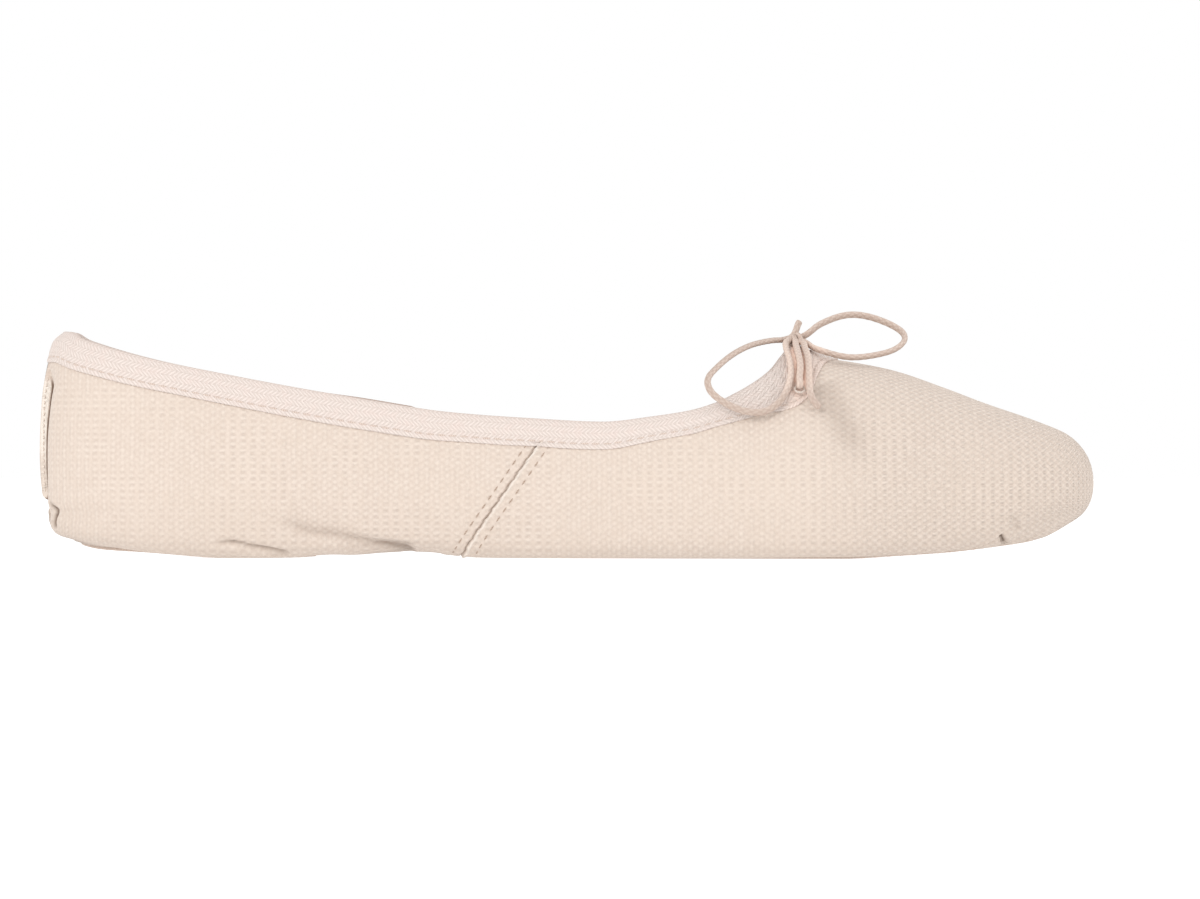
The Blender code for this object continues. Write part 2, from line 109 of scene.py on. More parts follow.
class Wire:
    # one socket, so that shader maths reads as arithmetic
    def __init__(self, sheet, socket):
        self.sheet, self.socket = sheet, socket

    def maths(self, operation, *others):
        values = dict(enumerate((self, *others)))
        return self.sheet.node("ShaderNodeMath", {"operation": operation}, values)[0]

    def __add__(self, other):
        return self.maths("ADD", other)

    def __sub__(self, other):
        return self.maths("SUBTRACT", other)

    def __rsub__(self, other):
        return (self * -1.0).maths("ADD", other)

    def __mul__(self, other):
        return self.maths("MULTIPLY", other)

    def __truediv__(self, other):
        return self.maths("DIVIDE", other)

    __radd__, __rmul__ = __add__, __mul__

    def wave(self, period):
        return (self * (2 * math.pi / period)).maths("COSINE")

    def top(self, other):
        return self.maths("MAXIMUM", other)

    def rise(self, low, high):
        # 0 below low, 1 above high
        settings = {"interpolation_type": "SMOOTHSTEP"}
        return self.sheet.node("ShaderNodeMapRange", settings, {0: self, 1: low, 2: high})[0]


class NodeSheet:
    # one material's nodes
    def __init__(self, name):
        self.material = bpy.data.materials.new(name)
        self.material.use_nodes = True
        self.tree = self.material.node_tree
        self.shader = self.tree.nodes["Principled BSDF"]

    def node(self, kind, settings, sockets):
        made = self.tree.nodes.new(kind)
        for name, value in settings.items():
            setattr(made, name, value)
        for name, value in sockets.items():
            self.plug(made.inputs[name], value)
        return [Wire(self, socket) for socket in made.outputs]

    def plug(self, socket, value):
        if isinstance(value, Wire):
            self.tree.links.new(value.socket, socket)
        elif isinstance(value, tuple) and len(value) == 3 and socket.type == "RGBA":
            socket.default_value = (*linear(value), 1)
        else:
            socket.default_value = value

    def cloth(self):
        # the piece's own map in millimetres: along, and across or up
        along, across, _ = self.node("ShaderNodeSeparateXYZ", {}, {0: self.node("ShaderNodeUVMap", {}, {})[0]})
        return along * 100.0, across * 100.0

    def shade(self):
        # how much painted shade a point gets, from 0 to 1, and below 0 how much painted light
        return self.node("ShaderNodeAttribute", {"attribute_name": "shade"}, {})[2]

    def paintShadeAndLight(self, colour, look):
        # painted shade mixes towards the look's crease colour, and painted light towards its lit colour
        shade = self.shade()
        colour = self.mix(shade, colour, look["crease"])
        return self.mix(shade * -1.0, colour, look["lit"])

    def place(self):
        return self.node("ShaderNodeTexCoord", {}, {})[3]

    def noise(self, scale, detail, where=None):
        settings = {"noise_dimensions": "3D"}
        values = {"Vector": where or self.place(), "Scale": scale, "Detail": detail, "Roughness": 0.55}
        return self.node("ShaderNodeTexNoise", settings, values)[0]

    def mix(self, share, first, second):
        return self.node("ShaderNodeMix", {"data_type": "RGBA"}, {0: share, 6: first, 7: second})[2]

    def bump(self, height, depth):
        values = {"Height": height, "Distance": depth, "Strength": 1.0}
        return self.node("ShaderNodeBump", {}, values)[0]

    def finish(self, sockets):
        for name, value in sockets.items():
            self.plug(self.shader.inputs[name], value)
        return self.material

    def asCloth(self, colour, height, look, roughness):
        return self.finish({
            "Base Color": colour, "Normal": self.bump(height, look["relief"]), "Roughness": roughness,
            "Specular IOR Level": look["shine"], "Sheen Weight": look["sheen"],
            "Sheen Roughness": look.get("sheenRoughness", 0.5)})


def linear(colour):
    # screen values 0 to 255 as scene-linear values
    return tuple(((c / 255 + 0.055) / 1.055) ** 2.4 if c > 10 else c / 255 / 12.92 for c in colour)


# the last

last = {
    "length": 245.0,
    "ballWidth": 78.0,
    "instepHeight": 48.6,
    "heelHeight": 52.6,
    "heelAxis": 32.0,        # girth lines fan about this axis round the heel
    "toeAxis": 156.0,        # and about this one round the toe
    "spineHeight": 16.0,
    "rayLength": 160.0,      # the outline is looked for this far from the axis
    "heelLean": 0.9,         # how far forward the top of the heel leans
    "heelRoll": 1.3,         # and its rolled edge
    "crownPower": 1.9,
    "bottomPower": 6.0,
    "tipPower": 2.8,         # the underside is rounder at the tip of the toe
    "tipFrom": 200.0,
    "tipTo": 240.0,
    "standoff": 0.35,
    "soleThickness": 1.0,
    "gap": 0.3,
    "puff": 1.6,
    "heelSoleEnd": 64.0,
    "frontSoleStart": 98.0,
    "soleEndRounding": 13.0,
}
# station, breadth as a share of half the ball width, then underside, widest and ridge heights
# as shares of the instep height, all in percent
lastRows = (
    (0.0, 0.0, 54.8, 55.6, 55.6),
    (0.2, 12.6, 29.1, 53.5, 81.3),
    (0.6, 21.0, 16.4, 51.4, 96.3),
    (1.7, 35.4, 8.9, 47.3, 108.2),
    (3.3, 46.4, 6.6, 43.2, 116.3),
    (6.1, 59.0, 3.9, 38.0, 124.5),
    (9.8, 67.4, 2.8, 34.0, 127.6),
    (13.9, 71.8, 1.3, 31.9, 127.2),
    (17.6, 72.5, 0.0, 30.5, 125.3),
    (22.9, 72.8, 0.0, 28.8, 121.4),
    (29.4, 72.6, 1.1, 27.6, 115.2),
    (35.9, 73.8, 2.0, 26.7, 109.1),
    (42.4, 77.4, 0.0, 26.1, 103.9),
    (53.1, 87.2, 0.0, 25.7, 100.4),
    (61.2, 95.4, 0.0, 25.7, 99.2),
    (70.2, 100.0, 0.0, 25.7, 98.0),
    (75.9, 99.0, 0.0, 25.9, 94.0),
    (80.8, 94.9, 1.3, 26.3, 89.3),
    (85.7, 86.9, 2.8, 27.2, 81.3),
    (90.2, 78.4, 5.2, 28.8, 72.8),
    (94.7, 62.5, 8.1, 31.3, 65.0),
    (97.6, 46.5, 14.3, 33.5, 58.8),
    (99.0, 31.5, 19.7, 35.0, 52.3),
    (99.7, 18.2, 26.0, 35.8, 45.7),
    (100.0, 0.0, 35.5, 36.2, 36.2),
)
# station in percent of the length, and the collar's height in percent of the heel height
collarRows = (
    (0.0, 100.4), (2.6, 99.6), (4.6, 96.2), (8.4, 90.7), (12.2, 86.3), (16.0, 82.7),
    (23.6, 75.9), (31.2, 69.8), (38.9, 64.3), (46.5, 61.6), (53.5, 60.0), (57.9, 62.2),
    (61.7, 65.0), (63.9, 68.1), (65.8, 72.1), (68.4, 79.3), (69.5, 83.8), (70.1, 87.8),
    (70.5, 90.5), (70.9, 96.0), (100.0, 130.0),
)
# girth number, then how far the sole and the insole stay inside the outline in mm. 0 is the back
# of the heel, 1 to 2 the side and 3 the tip of the toe
marginRows = (
    (0.00, 9.5, 8.0),
    (1.00, 8.5, 6.5),
    (1.45, 14.5, 8.0),
    (1.80, 10.0, 6.5),
    (2.30, 9.5, 6.5),
    (2.65, 11.0, 8.0),
    (3.00, 18.0, 14.0),
)
# girth number and the casing's depth in mm. It flares where it is gathered beside the throat
casingRows = (
    (0.00, 8.0), (1.00, 7.8), (1.30, 7.9), (1.45, 7.8), (1.55, 7.4), (1.80, 7.4), (1.92, 6.8),
    (2.00, 7.2), (2.20, 9.8), (2.40, 14.2), (2.60, 11.6), (2.75, 10.8), (3.00, 13.0),
)


def smoothCurve(knots, values, fineness=3000):
    # a monotone cubic through the knots, sampled finely once
    knots, values = np.array(knots, float), np.array(values, float)
    steps = np.diff(knots)
    rises = np.diff(values) / steps
    slopes = np.concatenate([rises[:1], np.zeros(len(rises) - 1), rises[-1:]])
    before, after = rises[:-1], rises[1:]
    agree = before * after > 0
    near, far = steps[:-1] + 2 * steps[1:], 2 * steps[:-1] + steps[1:]
    slopes[1:-1][agree] = (near + far)[agree] / (near[agree] / before[agree] + far[agree] / after[agree])
    x = np.linspace(knots[0], knots[-1], fineness)
    i = np.clip(np.searchsorted(knots, x, side="right") - 1, 0, len(steps) - 1)
    t = (x - knots[i]) / steps[i]
    y = values[i] * (1 + 2 * t) * (1 - t) ** 2 + values[i + 1] * t * t * (3 - 2 * t)
    y += (slopes[i] * (1 - t) ** 2 * t - slopes[i + 1] * t * t * (1 - t)) * steps[i]
    return lambda wanted: np.interp(wanted, x, y)


def smoothStep(value, low, high):
    t = np.clip((value - low) / (high - low), 0, 1)
    return t * t * (3 - 2 * t)


def between(value, low, full, fall, end):
    # rises from low to full and is gone again from fall to end
    return smoothStep(value, low, full) * (1 - smoothStep(value, fall, end))


def runAlong(points):
    # the length of a path up to each of its points
    return np.concatenate([[0], np.cumsum(np.linalg.norm(np.diff(points, axis=0), axis=1))])


def readTable(table, a, b):
    # a table between its rows and columns, at fractional places
    i, j = np.minimum(a.astype(int), table.shape[0] - 2), np.minimum(b.astype(int), table.shape[1] - 2)
    s, t = a - i, b - j
    if table.ndim > 2:
        s, t = s[..., None], t[..., None]
    low = table[i, j] * (1 - s) + table[i + 1, j] * s
    high = table[i, j + 1] * (1 - s) + table[i + 1, j + 1] * s
    return low * (1 - t) + high * t


def roundness(x):
    # a distance from the heel as an angle, in which both round ends are smooth
    return np.arccos(np.clip(1 - 2 * np.asarray(x, float) / last["length"], -1, 1))


def lastCurve(column, size):
    angles = [math.acos(1 - row[0] / 50) for row in lastRows]
    curve = smoothCurve(angles, [row[column] / 100 * size for row in lastRows])
    return lambda x: curve(roundness(x))


def numberCurve(rows, column):
    return smoothCurve([row[0] for row in rows], [row[column] for row in rows])


breadthAt = lastCurve(1, last["ballWidth"] / 2)
undersideAt = lastCurve(2, last["instepHeight"])
widestAt = lastCurve(3, last["instepHeight"])
ridgeAt = lastCurve(4, last["instepHeight"])
collarAt = smoothCurve([r[0] / 100 * last["length"] for r in collarRows],
                       [r[1] / 100 * last["heelHeight"] for r in collarRows])
soleMargin, insoleMargin = numberCurve(marginRows, 1), numberCurve(marginRows, 2)
casingDepth = numberCurve(casingRows, 1)


def soleLevel(x):
    return np.maximum(undersideAt(x), 0)


def outside(x, y, z):
    # above 0 outside the canvas, below 0 inside it
    breadth = np.maximum(breadthAt(x), 1e-3)
    widest = widestAt(x)
    above = np.maximum(ridgeAt(x) - widest, 1e-3)
    below = np.maximum(widest - soleLevel(x) - last["standoff"], 1e-3)
    across = np.minimum(np.abs(y) / breadth, 9)
    isAbove = z > widest
    tip = smoothStep(x, last["tipFrom"], last["tipTo"])
    lower = last["bottomPower"] + (last["tipPower"] - last["bottomPower"]) * tip
    power = np.where(isAbove, last["crownPower"], lower)
    reach = np.minimum(np.abs(z - widest) / np.where(isAbove, above, below), 9)
    level = across**power + reach**power - 1
    return np.where((x <= 0) | (x >= last["length"]), 9, level)


def girthPlanes(numbers):
    # each girth line's axis along the shoe, and its outward direction
    side = np.clip(numbers - 1, 0, 1)
    axis = last["heelAxis"] + side * (last["toeAxis"] - last["heelAxis"])
    heelTurn = np.clip(numbers, 0, 1) * math.pi / 2
    toeTurn = np.clip(numbers - 2, 0, 1) * math.pi / 2
    dx = -np.cos(heelTurn) + np.sin(toeTurn)
    dy = np.where(numbers < 1, np.sin(heelTurn), np.cos(toeTurn))
    return axis, dx, dy


def heelLean(points):
    x, y, z = (points[..., k] for k in range(3))
    lean = last["heelLean"] * smoothStep(z, 36.0, 50.0) + last["heelRoll"] * smoothStep(z, 49.5, 53.0)
    return lean * (1 - smoothStep(np.abs(y), 5.0, 13.0)) * (x < last["heelAxis"])


sideLength = last["toeAxis"] - last["heelAxis"]


def numberAtStation(x):
    return 1 + (x - last["heelAxis"]) / sideLength


def soleShare(x):
    # the soles' width as a share of the full width, with each inner end rounded
    fromEnd = np.maximum(last["heelSoleEnd"] - x, x - last["frontSoleStart"])
    t = np.clip(fromEnd / last["soleEndRounding"], 0, 1)
    return np.sqrt(1 - (1 - t) ** 2)


class Skin:
    # the canvas's outer face as a table. A point has a girth number and a level: 0 under the
    # foot's middle, 1 at the sole's edge, 2 beside the sole, 3 at the widest, 4 at the collar
    def __init__(self, lines=421, perLevel=60):
        self.numbers = np.linspace(0, 3, lines)
        self.levels = np.linspace(0, 4, 4 * perLevel + 1)
        self.axis, self.dx, self.dy = girthPlanes(self.numbers)
        down = -np.arctan2(last["spineHeight"], np.linspace(0, last["rayLength"], 400))
        angles = np.concatenate([down, np.linspace(down[-1], math.radians(89), 300)[1:]])
        near = np.zeros((lines, len(angles)))
        far = np.full_like(near, last["rayLength"])
        for _ in range(24):
            middle = (near + far) / 2
            reach, z = middle * np.cos(angles), last["spineHeight"] + middle * np.sin(angles)
            x = self.axis[:, None] + reach * self.dx[:, None]
            isOut = outside(x, reach * self.dy[:, None], z) > 0
            far, near = np.where(isOut, middle, far), np.where(isOut, near, middle)
        reach, z = near * np.cos(angles), last["spineHeight"] + near * np.sin(angles)
        self.points = np.zeros((lines, len(self.levels), 3))
        self.marks = np.zeros((lines, 5))
        self.outline = reach.max(axis=1)
        self.sole = self.outline - soleMargin(self.numbers)
        for i in range(lines):
            self.trace(i, reach[i], z[i])
        self.points[..., 0] += heelLean(self.points)
        self.normals = self.findNormals()

    def trace(self, i, reach, z):
        # one line, cut at the collar, with the canvas lifted onto the sole
        over = z - collarAt(self.axis[i] + reach * self.dx[i])
        cut = int(np.argmax(over > 0))
        share = over[cut - 1] / (over[cut - 1] - over[cut])
        end = [v[cut - 1] + share * (v[cut] - v[cut - 1]) for v in (reach, z)]
        reach, z = np.append(reach[:cut], end[0]), np.append(z[:cut], end[1])
        widest = int(np.argmax(reach))
        edge = self.sole[i] + last["gap"]
        beside = np.clip((reach - edge) / last["puff"], 0, 1)
        rest = 1 - beside * beside * (3 - 2 * beside)
        shelf = soleLevel(self.axis[i] + reach * self.dx[i]) + last["soleThickness"] + last["gap"]
        z = np.where(np.arange(len(z)) < widest, z + rest * (shelf - z), z)
        run = np.concatenate([[0], np.cumsum(np.hypot(np.diff(reach), np.diff(z)))])
        under = np.interp([edge, edge + last["puff"]], reach[: widest + 1], run[: widest + 1])
        self.marks[i] = (0, *under, run[widest], run[-1])
        runs = np.interp(self.levels, range(5), self.marks[i])
        at = np.interp(runs, run, reach)
        self.points[i, :, 0] = self.axis[i] + at * self.dx[i]
        self.points[i, :, 1] = at * self.dy[i]
        self.points[i, :, 2] = np.interp(runs, run, z)

    def findNormals(self):
        along = np.gradient(self.points, axis=0)
        up = np.gradient(self.points, axis=1)
        normals = np.cross(up, along)
        normals[[0, -1], :, 1] = 0
        length = np.linalg.norm(normals, axis=2, keepdims=True)
        normals = np.where(length > 1e-9, normals / np.maximum(length, 1e-9), (0, 0, -1))
        normals[:, 0] = (0, 0, -1)
        return normals

    def look(self, table, numbers, levels):
        a = np.clip(numbers, 0, 3) / 3 * (len(self.numbers) - 1)
        b = np.clip(levels, 0, 4) / 4 * (len(self.levels) - 1)
        return readTable(table, a, b)

    def at(self, numbers, levels, side):
        # points and outward directions in mm from the heel; side is -1 near, 1 far
        point, normal = (self.look(table, numbers, levels) for table in (self.points, self.normals))
        turn = np.stack([np.ones_like(side), side, np.ones_like(side)], axis=-1)
        normal = normal / np.linalg.norm(normal, axis=-1, keepdims=True)
        return point * turn, normal * turn

    def run(self, numbers, levels):
        # length along the girth line, from under the foot
        a = np.clip(numbers, 0, 3) / 3 * (len(self.numbers) - 1)
        i = np.minimum(a.astype(int), len(self.numbers) - 2)
        s = (a - i)[..., None]
        marks = self.marks[i] * (1 - s) + self.marks[i + 1] * s
        k = np.minimum(np.clip(levels, 0, 4).astype(int), 3)
        low = np.take_along_axis(marks, k[..., None], -1)[..., 0]
        high = np.take_along_axis(marks, k[..., None] + 1, -1)[..., 0]
        return low + (levels - k) * (high - low)

    def levelBelow(self, numbers, depth):
        # the level this many mm below the collar's edge
        crest, widest = (self.run(numbers, np.full_like(numbers, level)) for level in (4.0, 3.0))
        return 4 - depth / (crest - widest)

    def evenNumbers(self, level, first, final, spacing):
        # girth numbers about this far apart along one level
        row = self.look(self.points, self.numbers, np.full_like(self.numbers, level))
        arc = runAlong(row)
        ends = np.interp([first, final], self.numbers, arc)
        count = max(2, round((ends[1] - ends[0]) / spacing) + 1)
        return np.interp(np.linspace(*ends, count), arc, self.numbers)


skin = Skin()
print("last traced")


class ClothMap:
    # lays the weave along the shoe: x along the outline, and height unrolled round each section
    def __init__(self):
        self.x = np.linspace(0, last["length"], 601)
        breadth = breadthAt(self.x)
        self.along = np.concatenate([[0], np.cumsum(np.hypot(np.diff(self.x), np.diff(breadth)))])
        self.turns = np.linspace(0, 1, 121)
        self.arcs = []
        for power, tall in ((last["crownPower"], ridgeAt(self.x) - widestAt(self.x)),
                            (last["bottomPower"], widestAt(self.x) - soleLevel(self.x))):
            level, rise = np.cos(self.turns * math.pi / 2), np.sin(self.turns * math.pi / 2)
            reach = (level**power + rise**power) ** (-1 / power)
            out, up = np.outer(breadth, reach * level), np.outer(tall, reach * rise)
            outStep, upStep = np.diff(out, axis=1), np.diff(up, axis=1)
            steps = np.maximum(np.abs(upStep), 0.62 * np.hypot(outStep, upStep))
            self.arcs.append(np.concatenate([np.zeros((len(self.x), 1)), np.cumsum(steps, axis=1)], axis=1))

    def at(self, points):
        # the cloth's two distances in mm for points on or near the canvas
        x, y, z = (points[..., k] for k in range(3))
        x = np.clip(x, 0.0, last["length"])
        widest = widestAt(x)
        breadth = np.maximum(breadthAt(x), 1e-3)
        across = np.zeros_like(x)
        for k, (tall, sign) in enumerate(((ridgeAt(x) - widest, 1), (widest - soleLevel(x), -1))):
            up = np.clip(sign * (z - widest) / np.maximum(tall, 1e-3), 0, 1)
            turn = np.arctan2(up, np.clip(np.abs(y) / breadth, 1e-6, 1)) / (math.pi / 2)
            a = x / last["length"] * (len(self.x) - 1)
            b = turn * (len(self.turns) - 1)
            across = np.where(sign * (z - widest) >= 0, sign * readTable(self.arcs[k], a, b), across)
        return np.stack([np.interp(x, self.x, self.along), widest + across], axis=-1)


clothMap = ClothMap()


# mesh helpers

def toShoe(points):
    # mm from the back of the heel to metres from the shoe's middle
    return (np.asarray(points, float) - (last["length"] / 2, 0, 0)) * mm


def addPiece(name, mesh, slot, *materials):
    piece = linked(name, mesh)
    for material in materials:
        mesh.materials.append(material)
    mesh.shade_smooth()
    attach(piece, "root")
    return piece


def freshMesh(name, bm):
    mesh = bpy.data.meshes.new(name)
    bm.to_mesh(mesh)
    bm.free()
    return mesh


def sheetMesh(name, points, cloth, inwardRows=None, mergeBelow=0.004, shade=None):
    # a grid of columns by rows moved to its places, with its cloth map and how much painted shade or painted light each
    # point gets, then sewn where it meets
    columns, rows = points.shape[:2]
    bm = bmesh.new()
    bmesh.ops.create_grid(bm, x_segments=columns - 1, y_segments=rows - 1, size=0.5)
    mapLayer = bm.loops.layers.uv.new("cloth")
    shadeLayer = bm.verts.layers.float.new("shade")
    at = np.array([v.co[:2] for v in bm.verts]) + 0.5
    column = np.rint(at[:, 0] * (columns - 1)).astype(int)
    row = np.rint(at[:, 1] * (rows - 1)).astype(int)
    places = toShoe(points)[column, row]
    marks = (cloth / 100)[column, row]
    depths = np.zeros(len(places)) if shade is None else np.clip(shade, -1, 1)[column, row]
    for vert, place, depth in zip(bm.verts, places, depths):
        vert.co = place
        vert[shadeLayer] = depth
    for face in bm.faces:
        rowsHere = []
        for loop in face.loops:
            loop[mapLayer].uv = marks[loop.vert.index]
            rowsHere.append(row[loop.vert.index])
        if inwardRows is not None and min(rowsHere) >= inwardRows:
            face.material_index = 1
    bmesh.ops.remove_doubles(bm, verts=bm.verts, dist=mergeBelow * mm)
    bmesh.ops.dissolve_degenerate(bm, edges=bm.edges, dist=mergeBelow * mm / 2)
    return freshMesh(name, bm)


def faceOutward(mesh):
    bm = bmesh.new()
    bm.from_mesh(mesh)
    bmesh.ops.recalc_face_normals(bm, faces=bm.faces)
    bm.to_mesh(mesh)
    bm.free()


def hump(value, width):
    return np.exp(-(value / width) ** 2)


def lineDistance(x, z, line):
    # signed distance from a drawn line in the side view, and the share of it passed
    best = np.full(x.shape, 1e9)
    signed, share = np.zeros(x.shape), np.zeros(x.shape)
    lengths = [math.dist(a[:2], b[:2]) for a, b in zip(line, line[1:])]
    for k, (a, b) in enumerate(zip(line, line[1:])):
        ux, uz = (b[0] - a[0]) / lengths[k], (b[1] - a[1]) / lengths[k]
        t = np.clip((x - a[0]) * ux + (z - a[1]) * uz, 0, lengths[k])
        dx, dz = x - a[0] - t * ux, z - a[1] - t * uz
        far = np.hypot(dx, dz)
        closer = far < best
        best = np.where(closer, far, best)
        signed = np.where(closer, np.sign(ux * dz - uz * dx) * far, signed)
        share = np.where(closer, (sum(lengths[:k]) + t) / sum(lengths), share)
    return signed, share


# materials

canvasLook = {
    "thread": (217, 203, 191),
    "gap": (197, 181, 169),
    "warp": 2.34,           # mm between bumps along the shoe, and each row is staggered
    "weft": 1.46,           # and up it
    "relief": 0.00026,      # m
    "roughness": 0.9,
    "shine": 0.22,
    "sheen": 0.12,
    # the canvas's painted shade colour, then its painted light colour
    "crease": (118, 98, 84),
    "lit": (244, 240, 232),
}


def plainWeave(along, across, warp, weft):
    # threads that pass over and under each other: 0 in the gaps, 1 on the crowns
    over = along.wave(2 * warp) * across.wave(2 * weft)
    crossing = across.wave(weft) * 0.25 - over * 0.5
    return (over * 0.5 + along.wave(warp) * 0.25).top(crossing) * 1.15 + 0.15


def canvasMaterial():
    sheet = NodeSheet("canvasWeave")
    along, across = sheet.cloth()
    # the cloth is pulled smooth round the heel and stands out most over the toes
    openness = along.rise(22.0, 55.0) * 0.35 + along.rise(185.0, 215.0) * 0.8 + 0.38
    drift = sheet.noise(900.0, 1.0) - 0.5
    patches = sheet.noise(75.0, 1.0).rise(0.35, 0.65)
    along, across = along + drift * 0.45, across + drift * 0.3
    over = along.wave(canvasLook["warp"]) * across.wave(canvasLook["weft"])
    stripes = along.wave(canvasLook["warp"]) * 0.12 + along.wave(canvasLook["warp"] / 2) * 0.12
    ribs = across.wave(canvasLook["weft"]) * 0.16
    weave = over * openness * 0.5 + stripes * (patches * 0.8 + 0.5) + ribs * (patches * -0.8 + 1.3) + 0.45
    grain = sheet.noise(1500.0, 2.0)
    slub = sheet.noise(420.0, 4.0)
    fuzz = sheet.noise(3800.0, 2.0)
    cloud = sheet.noise(26.0, 2.0)
    colour = sheet.mix(weave.rise(-0.1, 1.0), canvasLook["gap"], canvasLook["thread"])
    colour = sheet.mix((grain - 0.4).rise(0.0, 0.3) * 0.35, colour, (221, 208, 196))
    colour = sheet.mix((slub - 0.38).rise(0.0, 0.3) * 0.25, colour, (200, 183, 169))
    colour = sheet.mix(cloud.rise(0.35, 0.7) * 0.22, colour, (211, 196, 182))
    colour = sheet.paintShadeAndLight(colour, canvasLook)
    height = weave + slub * 0.45 + grain * 0.5 + fuzz * 0.22
    return sheet.asCloth(colour, height, canvasLook, weave * -0.06 + canvasLook["roughness"])


liningLook = {
    "thread": (238, 226, 214),
    "gap": (214, 197, 181),
    "pitch": 0.55,
    "relief": 0.00009,
    "shine": 0.2,
    "sheen": 0.08,
}


def liningMaterial(name="cottonLining", thread=liningLook["thread"]):
    sheet = NodeSheet(name)
    along, across = sheet.cloth()
    drift = sheet.noise(1300.0, 1.0) - 0.5
    weave = plainWeave(along + drift * 0.2, across + drift * 0.2, liningLook["pitch"], liningLook["pitch"])
    cloud = sheet.noise(60.0, 4.0)
    colour = sheet.mix(weave, liningLook["gap"], thread)
    colour = sheet.mix(cloud.rise(0.4, 0.75) * 0.3, colour, (226, 209, 194))
    height = weave + sheet.noise(2500.0, 2.0) * 0.3
    return sheet.asCloth(colour, height, liningLook, cloud * 0.08 + 0.84)


tapeLook = {
    "thread": (220, 208, 201),
    "gap": (203, 190, 182),
    "twill": 1.0,           # mm between the diagonal ribs
    "bar": 1.4,             # mm before the ribs turn back
    "relief": 0.00015,
    "shine": 0.25,
    "sheen": 0.1,
    # the tape's painted shade colour, then its painted light colour
    "crease": (146, 116, 98),
    "lit": (252, 221, 203),
}


def tapeMaterial():
    sheet = NodeSheet("casingTape")
    along, across = sheet.cloth()
    drift = sheet.noise(1100.0, 1.0) - 0.5
    along = along + drift * 0.3
    zigzag = (across / tapeLook["bar"]).maths("PINGPONG", 1.0) * tapeLook["bar"]
    rib = (along + zigzag).wave(tapeLook["twill"]) * 0.5 + 0.5
    thread = (across.wave(0.42) * along.wave(0.6)) * 0.5 + 0.5
    turn = (zigzag - tapeLook["bar"] / 2).maths("ABSOLUTE").rise(0.45, 0.7)
    height = rib * 0.6 + thread * 0.3 - turn * 0.25
    slub = sheet.noise(500.0, 3.0)
    colour = sheet.mix(height.rise(0.1, 0.8), tapeLook["gap"], tapeLook["thread"])
    colour = sheet.mix((slub - 0.45).rise(0.0, 0.25) * 0.3, colour, (216, 196, 188))
    colour = sheet.paintShadeAndLight(colour, tapeLook)
    return sheet.asCloth(colour, height + slub * 0.3, tapeLook, rib * -0.08 + 0.82)


suedeLook = {
    "nap": (196, 176, 162),
    "rubbed": (178, 158, 145),
    "high": (210, 190, 176),
    "relief": 0.00012,
    "shine": 0.15,
    "sheen": 0.25,
    "sheenRoughness": 0.6,
}


def suedeMaterial():
    sheet = NodeSheet("soleSuede")
    where = sheet.place()
    nap = sheet.noise(2600.0, 3.0, where)
    strokes = sheet.node("ShaderNodeMapping", {}, {"Vector": where, "Scale": (120.0, 620.0, 300.0)})[0]
    brushed = sheet.noise(1.0, 3.0, strokes)
    worn = sheet.noise(38.0, 4.0, where)
    colour = sheet.mix(nap.rise(0.3, 0.72), suedeLook["rubbed"], suedeLook["high"])
    colour = sheet.mix(brushed.rise(0.35, 0.7) * 0.5, colour, suedeLook["nap"])
    colour = sheet.mix(worn.rise(0.45, 0.72) * 0.35, colour, suedeLook["rubbed"])
    return sheet.asCloth(colour, nap * 0.8 + brushed * 0.5, suedeLook, worn * 0.1 + 0.86)


threadLook = {"twist": 0.5, "relief": 0.00006, "shine": 0.35, "sheen": 0.0}


def threadMaterial(name, light, dark):
    sheet = NodeSheet(name)
    along, across = sheet.cloth()
    twist = (along + across * 0.6).wave(threadLook["twist"]) * 0.5 + 0.5
    fuzz = sheet.noise(4000.0, 2.0)
    colour = sheet.mix(twist, dark, light)
    return sheet.asCloth(colour, twist + fuzz * 0.4, threadLook, fuzz * 0.15 + 0.6)


cordLook = {
    "light": (204, 187, 175),
    "dark": (188, 168, 156),
    # the cord's painted shade colour, then its painted light colour
    "crease": (146, 126, 112),
    "lit": (246, 222, 206),
    "lay": 2.0,
    "relief": 0.00006,
    "shine": 0.3,
    "sheen": 0.1,
}


def cordMaterial():
    sheet = NodeSheet("braidedCord")
    along, around = sheet.cloth()      # along in mm, and 0 to 8 round the cord
    turned = along * (2.0 / cordLook["lay"])
    left, right = turned + around, turned - around
    over = left.wave(4.0) * right.wave(4.0)
    braid = (over * 0.5 + left.wave(2.0) * 0.25).top(right.wave(2.0) * 0.25 - over * 0.5) * 1.15 + 0.15
    strands = (left * 3.0).wave(2.0) * 0.5 + 0.5
    cloud = sheet.noise(240.0, 3.0)
    colour = sheet.mix(braid.rise(0.0, 0.85), cordLook["dark"], cordLook["light"])
    colour = sheet.mix(cloud.rise(0.4, 0.7) * 0.35, colour, (190, 168, 156))
    colour = sheet.paintShadeAndLight(colour, cordLook)
    return sheet.asCloth(colour, braid + strands * 0.2, cordLook, braid * -0.12 + 0.78)


canvas = canvasMaterial()
lining = liningMaterial()
sockCloth = liningMaterial("sockCotton", (232, 216, 201))
tape = tapeMaterial()
suede = suedeMaterial()
paleThread = threadMaterial("paleThread", (214, 197, 186), (190, 172, 160))
seamThread = threadMaterial("seamThread", (186, 166, 150), (160, 138, 122))
ringThread = threadMaterial("ringThread", (236, 224, 214), (212, 196, 184))
soleThread = threadMaterial("soleThread", (224, 200, 182), (170, 140, 120))
cordBraid = cordMaterial()
print("materials made")


# drawstring

cord = {"width": 1.55, "thickness": 1.3, "step": 0.27, "sides": 16, "relief": 0.04, "lit": 0.36}
